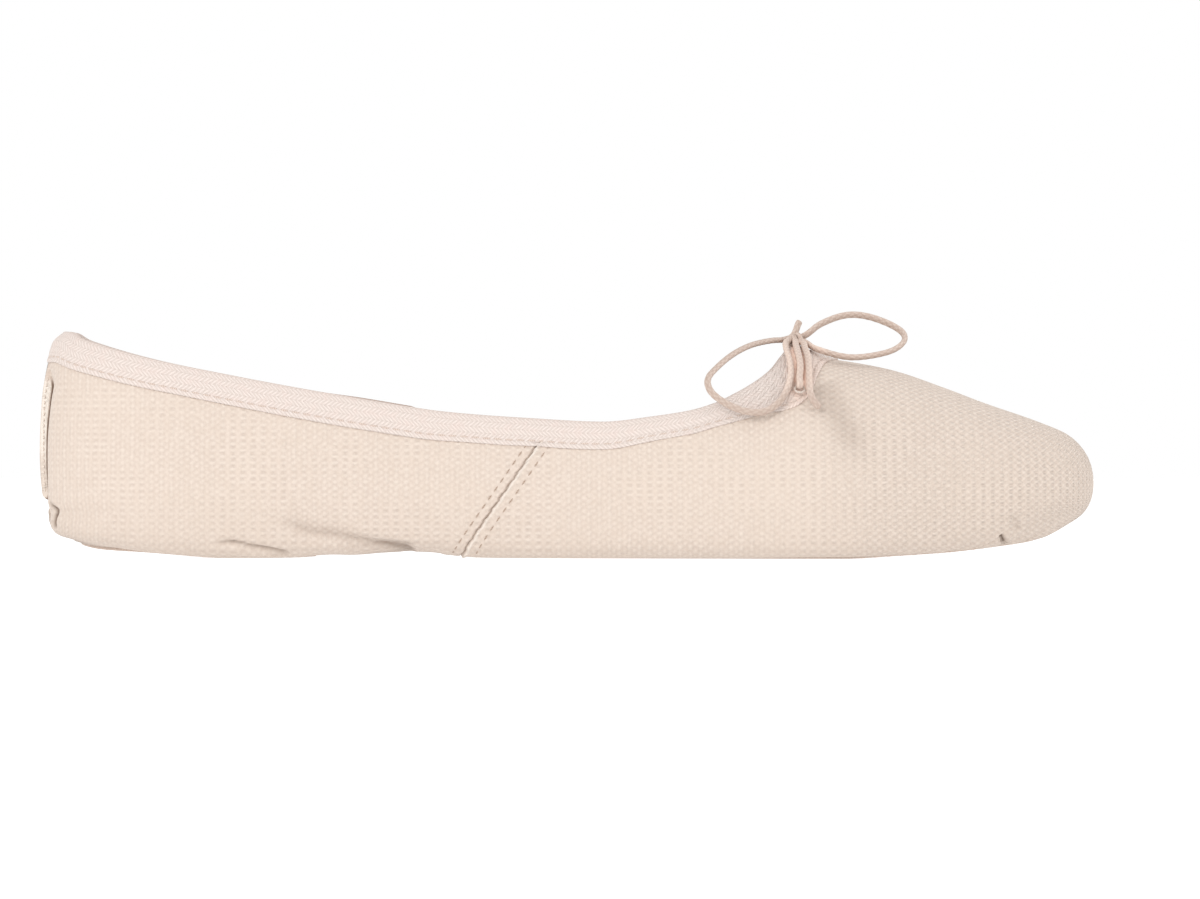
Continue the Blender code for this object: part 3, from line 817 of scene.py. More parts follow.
# x from the heel, y to the far side and z up, in mm. Each cord starts at its eyelet in the casing
throatExit = {"near": (175.9, -26.2, 38.9), "far": (175.9, 26.2, 38.9)}
knotPlace = (175.6, -1.2, 50.2)
nearLead = (
    (176.0, -26.6, 39.7), (176.0, -25.0, 41.2), (176.2, -21.9, 43.3), (176.2, -18.1, 45.4),
    (175.9, -12.7, 47.5), (175.7, -8.2, 48.8), (175.6, -5.4, 49.5),
)
farLead = (
    (176.0, 26.6, 39.7), (176.0, 25.0, 41.2), (176.2, 21.9, 43.3), (176.2, 18.1, 45.4),
    (175.9, 12.7, 47.5), (175.7, 8.2, 48.8), (175.7, 3.4, 49.8),
)
heelLoop = (
    (173.0, -1.8, 50.6), (171.4, -4.2, 50.4), (167.6, -10.0, 49.8), (163.9, -16.0, 48.6),
    (159.8, -22.0, 46.2), (156.3, -27.2, 43.1), (154.8, -30.5, 40.6), (155.5, -32.3, 38.3),
    (158.0, -33.1, 36.1), (161.5, -33.6, 34.3), (165.2, -33.8, 33.5), (168.3, -33.0, 33.9),
    (170.3, -32.0, 35.1), (171.6, -30.9, 36.4), (172.9, -28.5, 38.6), (173.8, -25.4, 41.0),
    (174.1, -21.7, 43.4), (173.8, -17.0, 46.0), (173.3, -12.2, 47.9), (173.2, -8.6, 49.0),
    (173.4, -5.0, 49.8),
)
toeLoop = (
    (178.3, -0.1, 51.8), (180.6, 1.6, 53.6), (183.0, 3.6, 54.9), (185.6, 5.5, 55.9),
    (188.9, 7.0, 56.5), (192.3, 7.5, 56.2), (195.7, 7.0, 55.2), (199.1, 5.5, 53.6),
    (201.0, 3.0, 51.9), (200.9, 0.0, 50.1), (198.7, -2.8, 48.3), (195.4, -5.5, 47.2),
    (191.4, -8.2, 46.5), (187.5, -9.9, 46.4), (184.0, -9.4, 47.1), (181.0, -7.2, 48.1),
    (179.2, -3.6, 49.0),
)
shortEnd = ((175.8, -0.6, 52.7), (176.2, 0.0, 53.9), (176.8, 0.6, 55.0))
longEnd = (
    (177.4, -4.6, 49.6), (177.6, -6.5, 49.0), (178.0, -13.1, 47.1), (178.2, -18.2, 44.9),
    (178.2, -22.5, 42.6), (178.2, -25.8, 40.2), (178.3, -28.1, 38.3), (178.8, -29.7, 36.7),
    (179.6, -30.5, 35.5), (180.5, -31.1, 34.4),
)


def smoothRoute(route, step):
    # points a step apart on the natural cubic spline through a route
    points = np.array(route, float)
    count = len(points)
    knots = runAlong(points)
    steps = np.diff(knots)[:, None]
    rises = np.diff(points, axis=0) / steps
    system, right = np.eye(count), np.zeros((count, 3))
    for i in range(1, count - 1):
        system[i, i - 1 : i + 2] = steps[i - 1, 0], 2 * (steps[i - 1, 0] + steps[i, 0]), steps[i, 0]
        right[i] = 6 * (rises[i] - rises[i - 1])
    bends = np.linalg.solve(system, right)
    wanted = np.linspace(0, knots[-1], max(3, round(knots[-1] / step) + 1))
    i = np.clip(np.searchsorted(knots, wanted, side="right") - 1, 0, count - 2)
    t = (wanted - knots[i])[:, None]
    slope = rises[i] - steps[i] * (2 * bends[i] + bends[i + 1]) / 6
    return points[i] + t * slope + t**2 * bends[i] / 2 + t**3 * (bends[i + 1] - bends[i]) / (6 * steps[i])


def framesAlong(path):
    # directions across a path that turn with it and never twist
    tangents = np.gradient(path, axis=0)
    tangents /= np.linalg.norm(tangents, axis=1, keepdims=True)
    across = np.zeros_like(path)
    start = np.cross(tangents[0], (0.0, 0.3, 1.0))
    across[0] = start / np.linalg.norm(start)
    for i in range(1, len(path)):
        moved = across[i - 1] - tangents[i] * np.dot(across[i - 1], tangents[i])
        across[i] = moved / np.linalg.norm(moved)
    return across, np.cross(tangents, across)


def sweepCord(name, path, width, thickness, sides, relief):
    # a braided cord with rounded ends along a path in mm
    across, up = framesAlong(path)
    run = runAlong(path)
    turn = np.linspace(0, 2 * math.pi, sides + 1)
    left = math.pi * run[:, None] / cordLook["lay"] * 2 + turn * 4
    right = math.pi * run[:, None] / cordLook["lay"] * 2 - turn * 4
    over = np.cos(left / 2) * np.cos(right / 2)
    braid = np.maximum(over * 0.5 + np.cos(left) * 0.25, np.cos(right) * 0.25 - over * 0.5)
    fromEnd = np.minimum(run, run[-1] - run)[:, None]
    taper = np.sqrt(np.clip(1 - (1 - np.clip(fromEnd / 0.6, 0, 1)) ** 2, 0, 1))
    a = (width / 2 + relief * braid) * np.cos(turn) * taper
    b = (thickness / 2 + relief * braid) * np.sin(turn) * taper
    points = path[:, None] + a[..., None] * across[:, None] + b[..., None] * up[:, None]
    cloth = np.stack(np.broadcast_arrays(run[:, None], turn / math.pi * 4), axis=-1)
    # the runs that lie on the throat catch the light
    lit = cord["lit"] * between(path[:, 0], 171.5, 172.5, 181.5, 184.0)
    lit = lit * between(path[:, 2], 35.5, 40.0, 49.3, 51.3)
    lit = lit * smoothStep(-path[:, 1], 1.0, 4.0)
    # painted shade darkens the cord's two edges, and the throat runs get painted light
    edges = 0.3 * np.abs(np.sin(turn)) ** 3 - lit[:, None]
    mesh = sheetMesh(name, points, cloth, mergeBelow=0.01, shade=edges)
    faceOutward(mesh)
    return mesh


def cordPiece(name, route, replaced):
    path = smoothRoute(route, cord["step"])
    mesh = sweepCord(name, path, cord["width"], cord["thickness"], cord["sides"], cord["relief"])
    piece = addPiece(name, mesh, "cord", cordBraid)
    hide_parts(*replaced)


knot = {"turns": (-2.3, 9.9), "points": 84, "start": -1.3, "advance": 0.21, "radii": (1.55, 1.35),
        "width": 1.3, "thickness": 1.15, "sides": 14}


def knotPath():
    # the knot's wrap: two turns round the crossing, leaning with the loops
    lean = Matrix.Rotation(math.radians(-16), 3, "Y") @ Matrix.Rotation(math.radians(12), 3, "Z")
    wide, tall = knot["radii"]
    wrap = []
    for t in np.linspace(*knot["turns"], knot["points"]):
        x = knot["start"] + knot["advance"] * (t - knot["turns"][0])
        wrap.append(lean @ Vector((x, wide * math.cos(t), tall * math.sin(t))))
    return np.array(wrap) + knotPlace


knotMesh = sweepCord("bowKnot", knotPath(), knot["width"], knot["thickness"], knot["sides"], cord["relief"])
bowKnot = addPiece("bowKnot", knotMesh, "cord", cordBraid)
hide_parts("bow_knot")
cordPiece(
    "drawstringHeelLoop",
    (throatExit["near"], *nearLead, (175.5, -2.8, 50.4), (174.6, -1.3, 50.9), *heelLoop,
     (174.4, -2.4, 50.7), (175.3, -1.1, 51.7), *shortEnd),
    ("bow_lead_near", "bow_loop_heel", "bow_end_short"),
)
cordPiece(
    "drawstringToeLoop",
    (throatExit["far"], *farLead, (176.4, 0.6, 50.7), *toeLoop,
     (177.8, -1.8, 50.0), (176.9, -2.4, 50.3), *longEnd),
    ("bow_lead_far", "bow_loop_toe", "bow_end_long"),
)
print("drawstring laid")


# canvas upper

upper = {
    "wall": 1.3,
    "collarGap": 1.0,       # the canvas stops this far below the casing's crest
    "seamAt": 106.7,        # the side seam's place at half height
    "seamHeight": 13.0,
    "seamLean": 0.695,      # mm forward for each mm up
    "seamReach": 46.0,
    "seamGroove": 0.6,
    "seamPad": 0.28,        # the allowances under the topstitching
    "seamRows": (-1.95, 2.45),  # the topstitching, mm in front of the seam
    # painted shade along the canvas's edge at the soles, on everything near the floor, and round the back of the heel
    "edgeShade": 0.38,      # where the canvas meets the soles
    "lowShade": 0.045,      # and on everything near the floor
    "backShade": 0.035,     # and round the back of the heel
    "clearance": 0.15,      # between the canvas beside the soles and the floor
}
heelSeam = {
    "half": 1.0,            # half the ridge's breadth
    "flank": 0.35,
    "deep": 2.05,           # how far the ridge stands out near the floor
    "deeper": 0.6,          # and how much more from here up
    "from": 28.0,
    "to": 43.0,
    "bottom": 12.3,
    "top": 45.0,
    "waist": 2.1,
    "lit": 0.62,
    "innerRoom": 2.2,
}
# folds drawn in the side view: points are mm from the heel and up, depth in mm, and the width
# goes from the first value to the second along the fold. A lip stands at a distance to one side
# of it, as a share of its depth, and far is its strength on the far side
# shade is how dark each fold is painted as painted shade, across shadeWidth mm
folds = (
    {"line": ((40.7, 4.1), (43.4, 4.0), (46.3, 4.0), (49.8, 3.1), (53.2, 2.6), (57.3, 1.8), (59.1, 1.5)),
     "depth": 0.9, "width": (0.8, 0.4), "lips": ((-1.4, 0.45), (1.4, 0.15)), "fade": (0.3, 0.08), "far": 0.5,
     "shade": 0.5, "shadeWidth": 0.3},
    {"line": ((54.2, 9.1), (59.5, 8.4), (64.0, 6.3), (70.0, 5.4), (74.0, 4.1), (79.0, 3.1), (84.5, 2.7), (88.0, 2.3)),
     "depth": 1.5, "width": (3.2, 0.8), "lips": ((-2.8, 0.35),), "fade": (0.3, 0.06), "far": 0.8,
     "shade": 0.24, "shadeWidth": 1.0},
    {"line": ((76.0, 3.4), (79.0, 2.6), (84.5, 1.9), (88.0, 1.6)),
     "depth": 0.45, "width": (0.4, 0.4), "lips": (), "fade": (0.5, 0.06), "far": 0.8,
     "shade": 0.5, "shadeWidth": 0.3},
    {"line": ((181.0, 40.3), (184.6, 33.6), (187.9, 27.2), (192.4, 20.3)),
     "depth": 0.5, "width": (4.0, 6.0), "lips": (), "fade": (0.02, 0.5), "far": 0.9,
     "shade": 0.24, "shadeWidth": 3.4},
    {"line": ((2.7, 13.6), (3.3, 12.2), (4.5, 11.2), (4.2, 10.3), (3.7, 9.3), (3.6, 8.2), (3.8, 7.3), (4.3, 6.4)),
     "depth": 0.5, "width": (0.35, 0.35), "lips": ((-0.9, 0.4), (0.9, 0.3)), "fade": (0.3, 0.15), "far": 1.0,
     "shade": 1.0, "shadeWidth": 0.34},
    {"line": ((221.8, 5.9), (222.1, 5.4), (222.9, 4.4), (223.4, 4.0)),
     "depth": 1.1, "width": (0.35, 0.45), "lips": ((1.1, 0.45),), "fade": (0.3, 0.05), "far": 0.8,
     "shade": 0.9, "shadeWidth": 0.35},
    {"line": ((224.5, 10.7), (225.2, 8.9), (226.1, 6.6)),
     "depth": 0.3, "width": (0.9, 0.8), "lips": (), "fade": (0.4, 0.1), "far": 0.6,
     "shade": 0.15, "shadeWidth": 0.6},
    {"line": ((120.0, 12.0), (135.0, 8.5), (150.0, 6.5), (168.0, 5.6)),
     "depth": 0.22, "width": (4.0, 3.0), "lips": (), "fade": (0.4, 0.4), "far": 1.0,
     "shade": 0.0, "shadeWidth": 1.0},
)


def foldRelief(x, z, side):
    # the folds' troughs and lips, outward in mm, and their painted shade
    relief, shade = np.zeros(x.shape), np.zeros(x.shape)
    for fold in folds:
        near, share = lineDistance(x, z, fold["line"])
        width = fold["width"][0] + (fold["width"][1] - fold["width"][0]) * share
        start, end = fold["fade"]
        strength = smoothStep(share, 0, start) * smoothStep(1 - share, 0, end)
        strength = strength * np.where(side < 0, 1.0, fold["far"])
        shape = hump(near, width)
        for place, height in fold["lips"]:
            shape = shape - height * hump(near - place, abs(place) * 0.65)
        relief -= strength * fold["depth"] * shape
        shade += strength * fold["shade"] * hump(near, fold["shadeWidth"])
    return relief, shade


def seamDistance(x, z):
    # mm in front of the side seam, square to it
    lean = upper["seamLean"]
    return (x - upper["seamAt"] - lean * (z - upper["seamHeight"])) / math.hypot(1, lean)


def seamRelief(x, z):
    d = seamDistance(x, z)
    pad = upper["seamPad"] * (1 - smoothStep(np.abs(d), 3.0, 4.6))
    pinch = 0.07 * sum(hump(d - row, 0.5) for row in upper["seamRows"])
    d = d + 0.1 * np.sin(z * 2.3) + 0.07 * np.sin(z * 5.1)
    relief = pad - upper["seamGroove"] * hump(d, 0.22) + 0.42 * hump(d - 0.6, 0.35) - pinch
    # painted shade in the seam's groove, and painted light on the ridge in front of it
    return relief, 0.36 * hump(d, 0.13) - 0.35 * hump(d - 0.55, 0.3)


def heelSeamRelief(y, z):
    # the back seam stands as a narrow ridge in a flattened heel, with a waist below it
    out = np.abs(y)
    ending = smoothStep(z, heelSeam["top"] - 6.0, heelSeam["top"] + 1.3)
    tall = smoothStep(z, heelSeam["bottom"], heelSeam["bottom"] + 2.4) * (1 - ending)
    deep = heelSeam["deep"] + heelSeam["deeper"] * smoothStep(z, heelSeam["from"], heelSeam["to"])
    flank = smoothStep(out, heelSeam["half"], heelSeam["half"] + heelSeam["flank"])
    gently = np.minimum(smoothStep(z, 4.0, 16.0), 1 - ending)
    wide = tall + (gently - tall) * smoothStep(out, 1.8, 3.4)
    relief = -deep * flank * (1 - smoothStep(out, 3.0, 13.0)) * wide - 0.9 * hump(out - 1.7, 0.35) * tall
    relief -= heelSeam["waist"] * hump(z - heelSeam["bottom"], 1.1) * (1 - smoothStep(out, 2.0, 6.0))
    # painted shade in a thin line at the foot of the ridge's flank, and painted light on the flank
    behind = -relief / np.maximum(deep * tall, 0.05)
    shade = smoothStep(behind, 0.74, 0.8) * (1 - smoothStep(out, 1.6, 2.0))
    shade -= heelSeam["lit"] * smoothStep(behind, 0.0, 0.1) * (1 - smoothStep(behind, 0.68, 0.74)) * (out < 1.4)
    shade = shade * smoothStep(tall, 0.0, 0.3) * (1 - smoothStep(z, 40.0, 42.5))
    return relief, shade, tall


# pleats gathered under the toe, mm round the outline from the tip, then their depths
toePleats = ((2.5, 0.5), (7.5, 0.4), (13, 0.5), (18.5, 0.42), (24.5, 0.48), (31, 0.36), (38, 0.3), (46, 0.2))


def pleatRelief(fromTip, levels, side):
    relief = np.zeros(levels.shape)
    drawn = between(levels, 1.4, 2.0, 2.25, 2.75)
    for place, depth in toePleats:
        d = fromTip - place - side * 0.8
        relief -= depth * (hump(d, 0.75) - 0.45 * hump(d - 2.0, 1.2) - 0.25 * hump(d + 2.0, 1.2)) * drawn
    return relief


def handRelief(x, z, side):
    # the slight unevenness of cloth that stands without a foot
    wave = np.sin(x / 11.5 + z / 9.0 + side) + 0.7 * np.sin(x / 6.9 - z / 7.5 + 2.0 * side)
    return 0.07 * wave + 0.05 * np.sin(z / 3.1 + x / 17.0)


# mm from the back seam, and from a side seam, to each of the fine columns beside it
besideHeelSeam = (0, 0.4, 0.75, 0.95, 1.03, 1.08, 1.12, 1.15, 1.18, 1.205, 1.23, 1.26, 1.31, 1.38,
                  1.48, 1.6, 1.75, 1.95, 2.2, 2.5, 2.9, 3.5, 4.3, 5.4, 6.6, 8.0, 9.2, 10.2, 11.0, 11.6,
                  *np.arange(12.1, 16.6, 0.4))
besideSideSeam = np.array([0, 0.1, 0.2, 0.31, 0.44, 0.6, 0.8, 1.05, 1.35, 1.7, 2.1, 2.5, 3.1, 3.8, 4.6, 5.6, 6.8])


def canvasColumns():
    # girth numbers of the canvas's columns, closest at the seams and at the crease under the toe
    heel = [math.asin(y / last["heelAxis"]) * 2 / math.pi for y in besideHeelSeam]
    seam = upper["seamAt"] + np.concatenate([-besideSideSeam[:0:-1], besideSideSeam])
    before = np.arange(last["heelAxis"], seam[0] - 0.8, 1.6)
    after = np.arange(last["toeAxis"], seam[-1] + 0.8, -1.7)[::-1]
    sides = numberAtStation(np.concatenate([before, seam, after]))
    corner = skin.evenNumbers(3.0, heel[-1], 1.0, 1.6)[1:-1]
    crease = np.arange(2.728, 2.79, 0.0024)
    toe = np.concatenate([skin.evenNumbers(3.0, 2.0, crease[0], 1.4)[1:-1], crease,
                          skin.evenNumbers(3.0, crease[-1], 3.0, 1.3)[1:]])
    return np.concatenate([heel, corner, sides, toe])


def ring(numbers):
    # girth numbers all the way round: the near side to the toe, then back along the far side
    return np.concatenate([numbers, numbers[-2::-1]]), np.concatenate(
        [-np.ones(len(numbers)), np.ones(len(numbers) - 1)])


def arcFromTip(numbers):
    row = skin.look(skin.points, skin.numbers, np.full_like(skin.numbers, 3.0))
    arc = runAlong(row)
    return np.interp(numbers, skin.numbers, arc[-1] - arc)


def canvasRelief(numbers, levels, side, base):
    # how far every fold and seam moves the canvas off the last, and how much painted shade or painted light each point
    # gets
    x, y, z = (base[..., k] for k in range(3))
    upright = smoothStep(levels, 1.6, 2.2)
    covered = skin.levelBelow(numbers, casingDepth(numbers) - 1.0)
    free = 1 - smoothStep(levels, covered, np.minimum(covered + 0.12, 4.01))
    relief, shade = (v * upright for v in foldRelief(x, z, side))
    onSeam = between(numbers, 1.1, 1.2, 1.8, 1.9)
    seam, seamShade = seamRelief(x, z)
    relief, shade = relief + seam * onSeam, shade + seamShade * onSeam * upright
    back, backShade, _ = heelSeamRelief(y, z)
    relief, shade = relief + back * (numbers < 0.6), shade + backShade * (numbers < 0.6)
    relief -= 0.45 * (1 - smoothStep(z, 10.5, 13.0)) * (1 - smoothStep(numbers, 0.5, 1.0)) * upright
    relief -= 0.45 * hump(z - 9.75, 1.8) * (1 - smoothStep(numbers, 0.4, 0.9)) * upright
    relief -= 0.2 * (1 - smoothStep(z, 4.5, 8.5)) * (1 - smoothStep(numbers, 0.25, 0.6)) * upright
    # painted shade where the canvas meets the soles, a little on everything near the floor, and round the back of the
    # heel
    meeting = (1 - smoothStep(z - soleLevel(x), 0.25, 0.9)) * smoothStep(levels, 1.4, 1.6)
    low = (1 - smoothStep(z, 5.0, 16.0)) * (1 - 0.5 * smoothStep(x, 90.0, 130.0))
    atBack = 1 - smoothStep(x, 4.0, 14.0)
    shade = shade + upper["edgeShade"] * meeting
    shade += (upper["lowShade"] * low + upper["backShade"] * atBack) * upright
    relief += pleatRelief(arcFromTip(numbers), levels, side) * (numbers > 2)
    relief += handRelief(x, z, side) * upright
    return relief * free, shade * free


def upperPoint(numbers, levels, side):
    # where the finished canvas's outer face is. Beside the soles it sags to just above the floor
    base, normal = skin.at(numbers, levels, side)
    relief, shade = canvasRelief(numbers, levels, side, base)
    points = base + normal * relief[..., None]
    x = base[..., 0]
    arch = between(x, 58.0, 70.0, 92.0, 104.0)
    heel = 1 - smoothStep(x, 14.0, 28.0)
    sag = between(levels, 1.5, 2.0, 2.1, 2.7) * (1 - arch) * (1 - heel)
    points[..., 2] -= sag * np.clip(points[..., 2] - soleLevel(x) - upper["clearance"], 0, 0.8)
    toe = smoothStep(x, 224.0, 242.0) * smoothStep(levels, 1.2, 1.8) * (1 - smoothStep(levels, 2.3, 2.95))
    points[..., 2] = np.maximum(points[..., 2] + 0.9 * toe, 0.04)
    return points, normal, base, shade


def leaned(levels, numbers, side):
    # the columns lean with the side seam
    sides = np.broadcast_to(side[:, None], levels.shape)
    wide = np.broadcast_to(numbers[:, None], levels.shape).copy()
    z = skin.at(wide, levels, sides)[0][..., 2]
    x = last["heelAxis"] + (wide - 1) * sideLength
    near = 1 - smoothStep(np.abs(x - upper["seamAt"]), 6.0, upper["seamReach"])
    isSide = (wide > 1) & (wide < 2)
    shift = upper["seamLean"] * (z - upper["seamHeight"]) * near * isSide
    return wide + shift / sideLength, sides


def buildUpper():
    numbers, side = ring(canvasColumns())
    under = [0, 0.3, 0.6, 0.85, 1.0, 1.25, 1.5, 1.75, 2.0]
    bottom = np.linspace(2, 3, 58)[1:]
    top = skin.levelBelow(numbers, np.full_like(numbers, upper["collarGap"]))[:, None]
    rise = 3 + (top - 3) * np.linspace(0, 1, 43)[1:]
    fixed = np.array(under + list(bottom))
    outer = np.concatenate([np.broadcast_to(fixed, (len(numbers), len(fixed))), rise], axis=1)
    inner = np.concatenate([3 + (top - 3) * np.linspace(1, 0, 15), np.broadcast_to(
        np.array([2.75, 2.5, 2.25, 2.0, 1.75, 1.5, 1.25, 1.0, 0.6, 0.0]), (len(numbers), 10))], axis=1)
    wide, sides = leaned(outer, numbers, side)
    points, _, base, shade = upperPoint(wide, outer, sides)
    innerWide, innerSides = leaned(inner, numbers, side)
    innerBase, innerNormal = skin.at(innerWide, inner, innerSides)
    x, y, z = (innerBase[..., k] for k in range(3))
    upright = smoothStep(inner, 1.6, 2.2)
    soft = (foldRelief(x, z, innerSides)[0] * 0.6 + handRelief(x, z, innerSides)) * upright
    behind = heelSeamRelief(y, z)[2] * (1 - smoothStep(np.abs(y), 2.5, 11.0)) * (innerWide < 0.6)
    soft -= heelSeam["innerRoom"] * behind
    innerPoints = innerBase + innerNormal * (soft - upper["wall"])[..., None]
    allPoints = np.concatenate([points, innerPoints], axis=1)
    outerCloth = clothMap.at(base)
    outerCloth[..., 0] -= heelSeamRelief(base[..., 1], base[..., 2])[0] * (wide < 0.6)
    cloth = np.concatenate([outerCloth, clothMap.at(innerBase)], axis=1)
    shades = np.concatenate([shade, np.zeros(inner.shape)], axis=1)
    mesh = sheetMesh("canvasUpper", allPoints, cloth, inwardRows=outer.shape[1], shade=shades)
    faceOutward(mesh)
    piece = addPiece("canvasUpper", mesh, "canvas", canvas, lining)
    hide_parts("upper")
    print("canvas triangles", 2 * len(mesh.polygons))


buildUpper()
print("upper built")


# casing round the collar

casing = {
    "tape": 0.36,
    "lift": 0.21,           # middle of the tape above the canvas
    "channel": (0.22, 0.5, 0.9),    # how far the drawstring swells it at heel, side and throat
    "innerLeg": 5.0,
    "stitchIn": 1.3,        # the stitch line's distance from the lower edge
    "ribs": 0.3,            # slanting puckers where it is gathered at the throat
    "ribPitch": 1.15,
    "ribSlant": 20.0,       # degrees from the collar's edge
    "rows": 45,
    "lit": 0.25,            # how much painted light the tape gets in front of the throat
    "farLift": 0.3,         # where the far collar stands a little proud
}
# mm below the crest and outside the canvas, over the fold and down the inner leg
inward = -(upper["wall"] + casing["lift"])
overTheCrest = (
    (0.62, 0.28), (0.4, 0.0), (0.27, -0.3), (0.25, -(upper["wall"] / 2)), (0.27, -1.0), (0.4, -1.3),
    (0.62, -1.52), (0.95, inward), (1.8, inward - 0.12), (2.8, inward - 0.12), (3.6, inward),
    (4.0, inward + 0.05), (4.6, inward), (casing["innerLeg"], inward + 0.08),
)
# the gathered casing bulges between the drawstring's three runs on the near side: x and z in mm
bulges = (
    ((175.0, 40.5), (175.15, 43.4), (174.95, 45.7), (174.6, 47.7), (174.45, 49.3)),
    ((177.1, 39.8), (177.2, 43.3), (177.15, 45.4), (176.8, 47.5), (176.5, 49.3)),
)


def farLift(x, side):
    return casing["farLift"] * between(x, 62.0, 75.0, 85.6, 86.8) * (side > 0)


def casingPoint(numbers, depth, offset, side):
    # a point of the casing: mm below the crest, and mm outside the canvas
    base, normal = skin.at(numbers, skin.levelBelow(numbers, depth), side)
    points = base + normal * np.asarray(offset)[..., None]
    points[..., 2] += farLift(points[..., 0], side)
    return points, normal


def casingOffset(numbers, depth, arc, side):
    # the outer leg's middle above the last's outside, its painted shade in the furrows and its painted light in front
    # of the throat
    deep = casingDepth(numbers)
    levels = skin.levelBelow(numbers, depth)
    base, _ = skin.at(numbers, levels, side)
    under, _ = canvasRelief(numbers, levels, side, base)
    channelEnd = deep - casing["stitchIn"] - 0.6
    q = np.clip((channelEnd - depth) / np.maximum(channelEnd - 0.5, 0.1), 0, 1)
    heel, middle, throatSwell = casing["channel"]
    swell = heel + (middle - heel) * smoothStep(numbers, 0.15, 0.9)
    swell = (swell + (throatSwell - middle) * smoothStep(numbers, 2.5, 2.9)) * np.sin(math.pi * q) ** 0.8
    gathered = smoothStep(numbers, 2.0, 2.2)
    along = np.minimum(arc, np.max(arc) - arc)
    slant = math.radians(casing["ribSlant"])
    phase = (depth * math.cos(slant) + along * math.sin(slant)) / casing["ribPitch"] + 0.12 * np.sin(along / 2.9)
    furrow = np.abs(np.sin(math.pi * phase))
    inside = smoothStep(q, 0.0, 0.06)
    broken = 0.7 + 0.3 * np.sin(along * 2.1 + depth * 1.7)
    ribs = casing["ribs"] * gathered * (furrow**0.7 - 0.75) * inside * broken
    # painted light in front of the throat and on the bulges between the drawstring's runs
    lit = casing["lit"] * smoothStep(base[..., 0], 171.5, 174.0) * smoothStep(-base[..., 1], 1.0, 12.0)
    for line in bulges:
        gap, passed = lineDistance(base[..., 0], base[..., 2], line)
        ribs = ribs + 0.75 * hump(gap, 0.45) * smoothStep(passed, 0, 0.2) * (side < 0)
        lit = lit + 0.75 * hump(gap, 0.9) * smoothStep(-base[..., 1], 1.0, 5.0)
    pucker = 0.05 * np.sin(arc / 0.62 + 1.3 * np.sin(arc / 3.7)) * np.sin(math.pi * q) * (0.5 + 1.2 * gathered)
    edge = deep - depth
    pinch = 0.1 * hump(edge - casing["stitchIn"], 0.45) + 0.1 * hump(edge, 0.3)
    # painted shade in the gathered furrows
    shade = 0.4 * gathered * inside * hump(furrow, 0.3) * broken
    return under + casing["lift"] + swell + ribs + pucker - pinch, shade - lit


def crestRun(numbers, side):
    crest = skin.at(numbers, np.full_like(numbers, 3.99), side)[0]
    return runAlong(crest)


def casingNumbers():
    heel = skin.evenNumbers(4.0, 0.0, 1.0, 1.2)[:-1]
    side = skin.evenNumbers(4.0, 1.0, 2.0, 1.4)[:-1]
    spans = ((2.0, 2.35, 0.42), (2.35, 2.92, 0.24), (2.92, 3.0, 0.42))
    throat = [skin.evenNumbers(4.0, *span) for span in spans]
    return np.concatenate([heel, side, throat[0][:-1], throat[1][:-1], throat[2]])


def buildCasing():
    numbers, side = ring(casingNumbers())
    arc = crestRun(numbers, side)
    deep = casingDepth(numbers)
    rows = []
    for share in np.concatenate([[0, 0.03], np.linspace(0.07, 1, casing["rows"])]):
        depth = deep - (deep - 0.95) * share
        rows.append((depth, *casingOffset(numbers, depth, arc, side)))
    crestRow = len(rows) + 3
    for depth, offset in overTheCrest:
        x = skin.at(numbers, np.full_like(numbers, 4.0), side)[0][:, 0]
        # painted shade along the crest, darker where the far collar stands proud
        crestShade = (0.22 + 1.4 * farLift(x, side)) * (1 - smoothStep(depth, 0.4, 0.95))
        rows.append((np.full_like(numbers, depth), np.full_like(numbers, offset), crestShade))
    points = np.stack([casingPoint(numbers, depth, offset, side)[0] for depth, offset, _ in rows], axis=1)
    down = np.concatenate([np.zeros((len(numbers), 1)), np.cumsum(
        np.linalg.norm(np.diff(points, axis=1), axis=2), axis=1)], axis=1)
    down = down - down[:, crestRow : crestRow + 1]
    cloth = np.stack([np.broadcast_to(arc[:, None], down.shape), down], axis=-1)
    shade = np.stack([row[2] for row in rows], axis=1)
    # painted shade in each eyelet's hole, and painted light round it
    for place in throatExit.values():
        far = np.linalg.norm(points - place, axis=-1)
        shade = shade + 1.2 * hump(far, 0.45) - 0.35 * hump(far, 2.0)
    mesh = sheetMesh("collarCasing", points, cloth, shade=shade)
    piece = addPiece("collarCasing", mesh, "binding", tape)
    wall = piece.modifiers.new("tape", "SOLIDIFY")
    wall.thickness = casing["tape"] * mm
    wall.offset = 0
    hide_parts("binding")


buildCasing()
print("casing built")


# stitching

# mm from start to start, the length of a stitch, then its width and height
stitches = {
    "casing": {"pitch": 2.6, "length": 1.9, "width": 0.42, "height": 0.34},
    "sideSeam": {"pitch": 2.4, "length": 1.5, "width": 0.36, "height": 0.3},
    "heelSeam": {"pitch": 1.35, "length": 0.85, "width": 0.34, "height": 0.28},
    "sole": {"pitch": 3.0, "length": 2.2, "width": 0.45, "height": 0.3},
    "insole": {"pitch": 3.2, "length": 2.3, "width": 0.4, "height": 0.26},
}


def alongPath(points, normals, kind, start=0.0):
    # middles, directions and normals of stitches along a path
    pitch, length = stitches[kind]["pitch"], stitches[kind]["length"]
    run = runAlong(points)
    count = int((run[-1] - start) / pitch)
    pitch = (run[-1] - start) / max(count, 1)
    places = []
    for k in range(count):
        ends = []
        for at in (start + k * pitch, start + k * pitch + length):
            ends.append(np.array([np.interp(at, run, points[:, i]) for i in range(3)]))
        normal = np.array([np.interp(start + k * pitch + length / 2, run, normals[:, i]) for i in range(3)])
        places.append(((ends[0] + ends[1]) / 2, ends[1] - ends[0], normal))
    return places


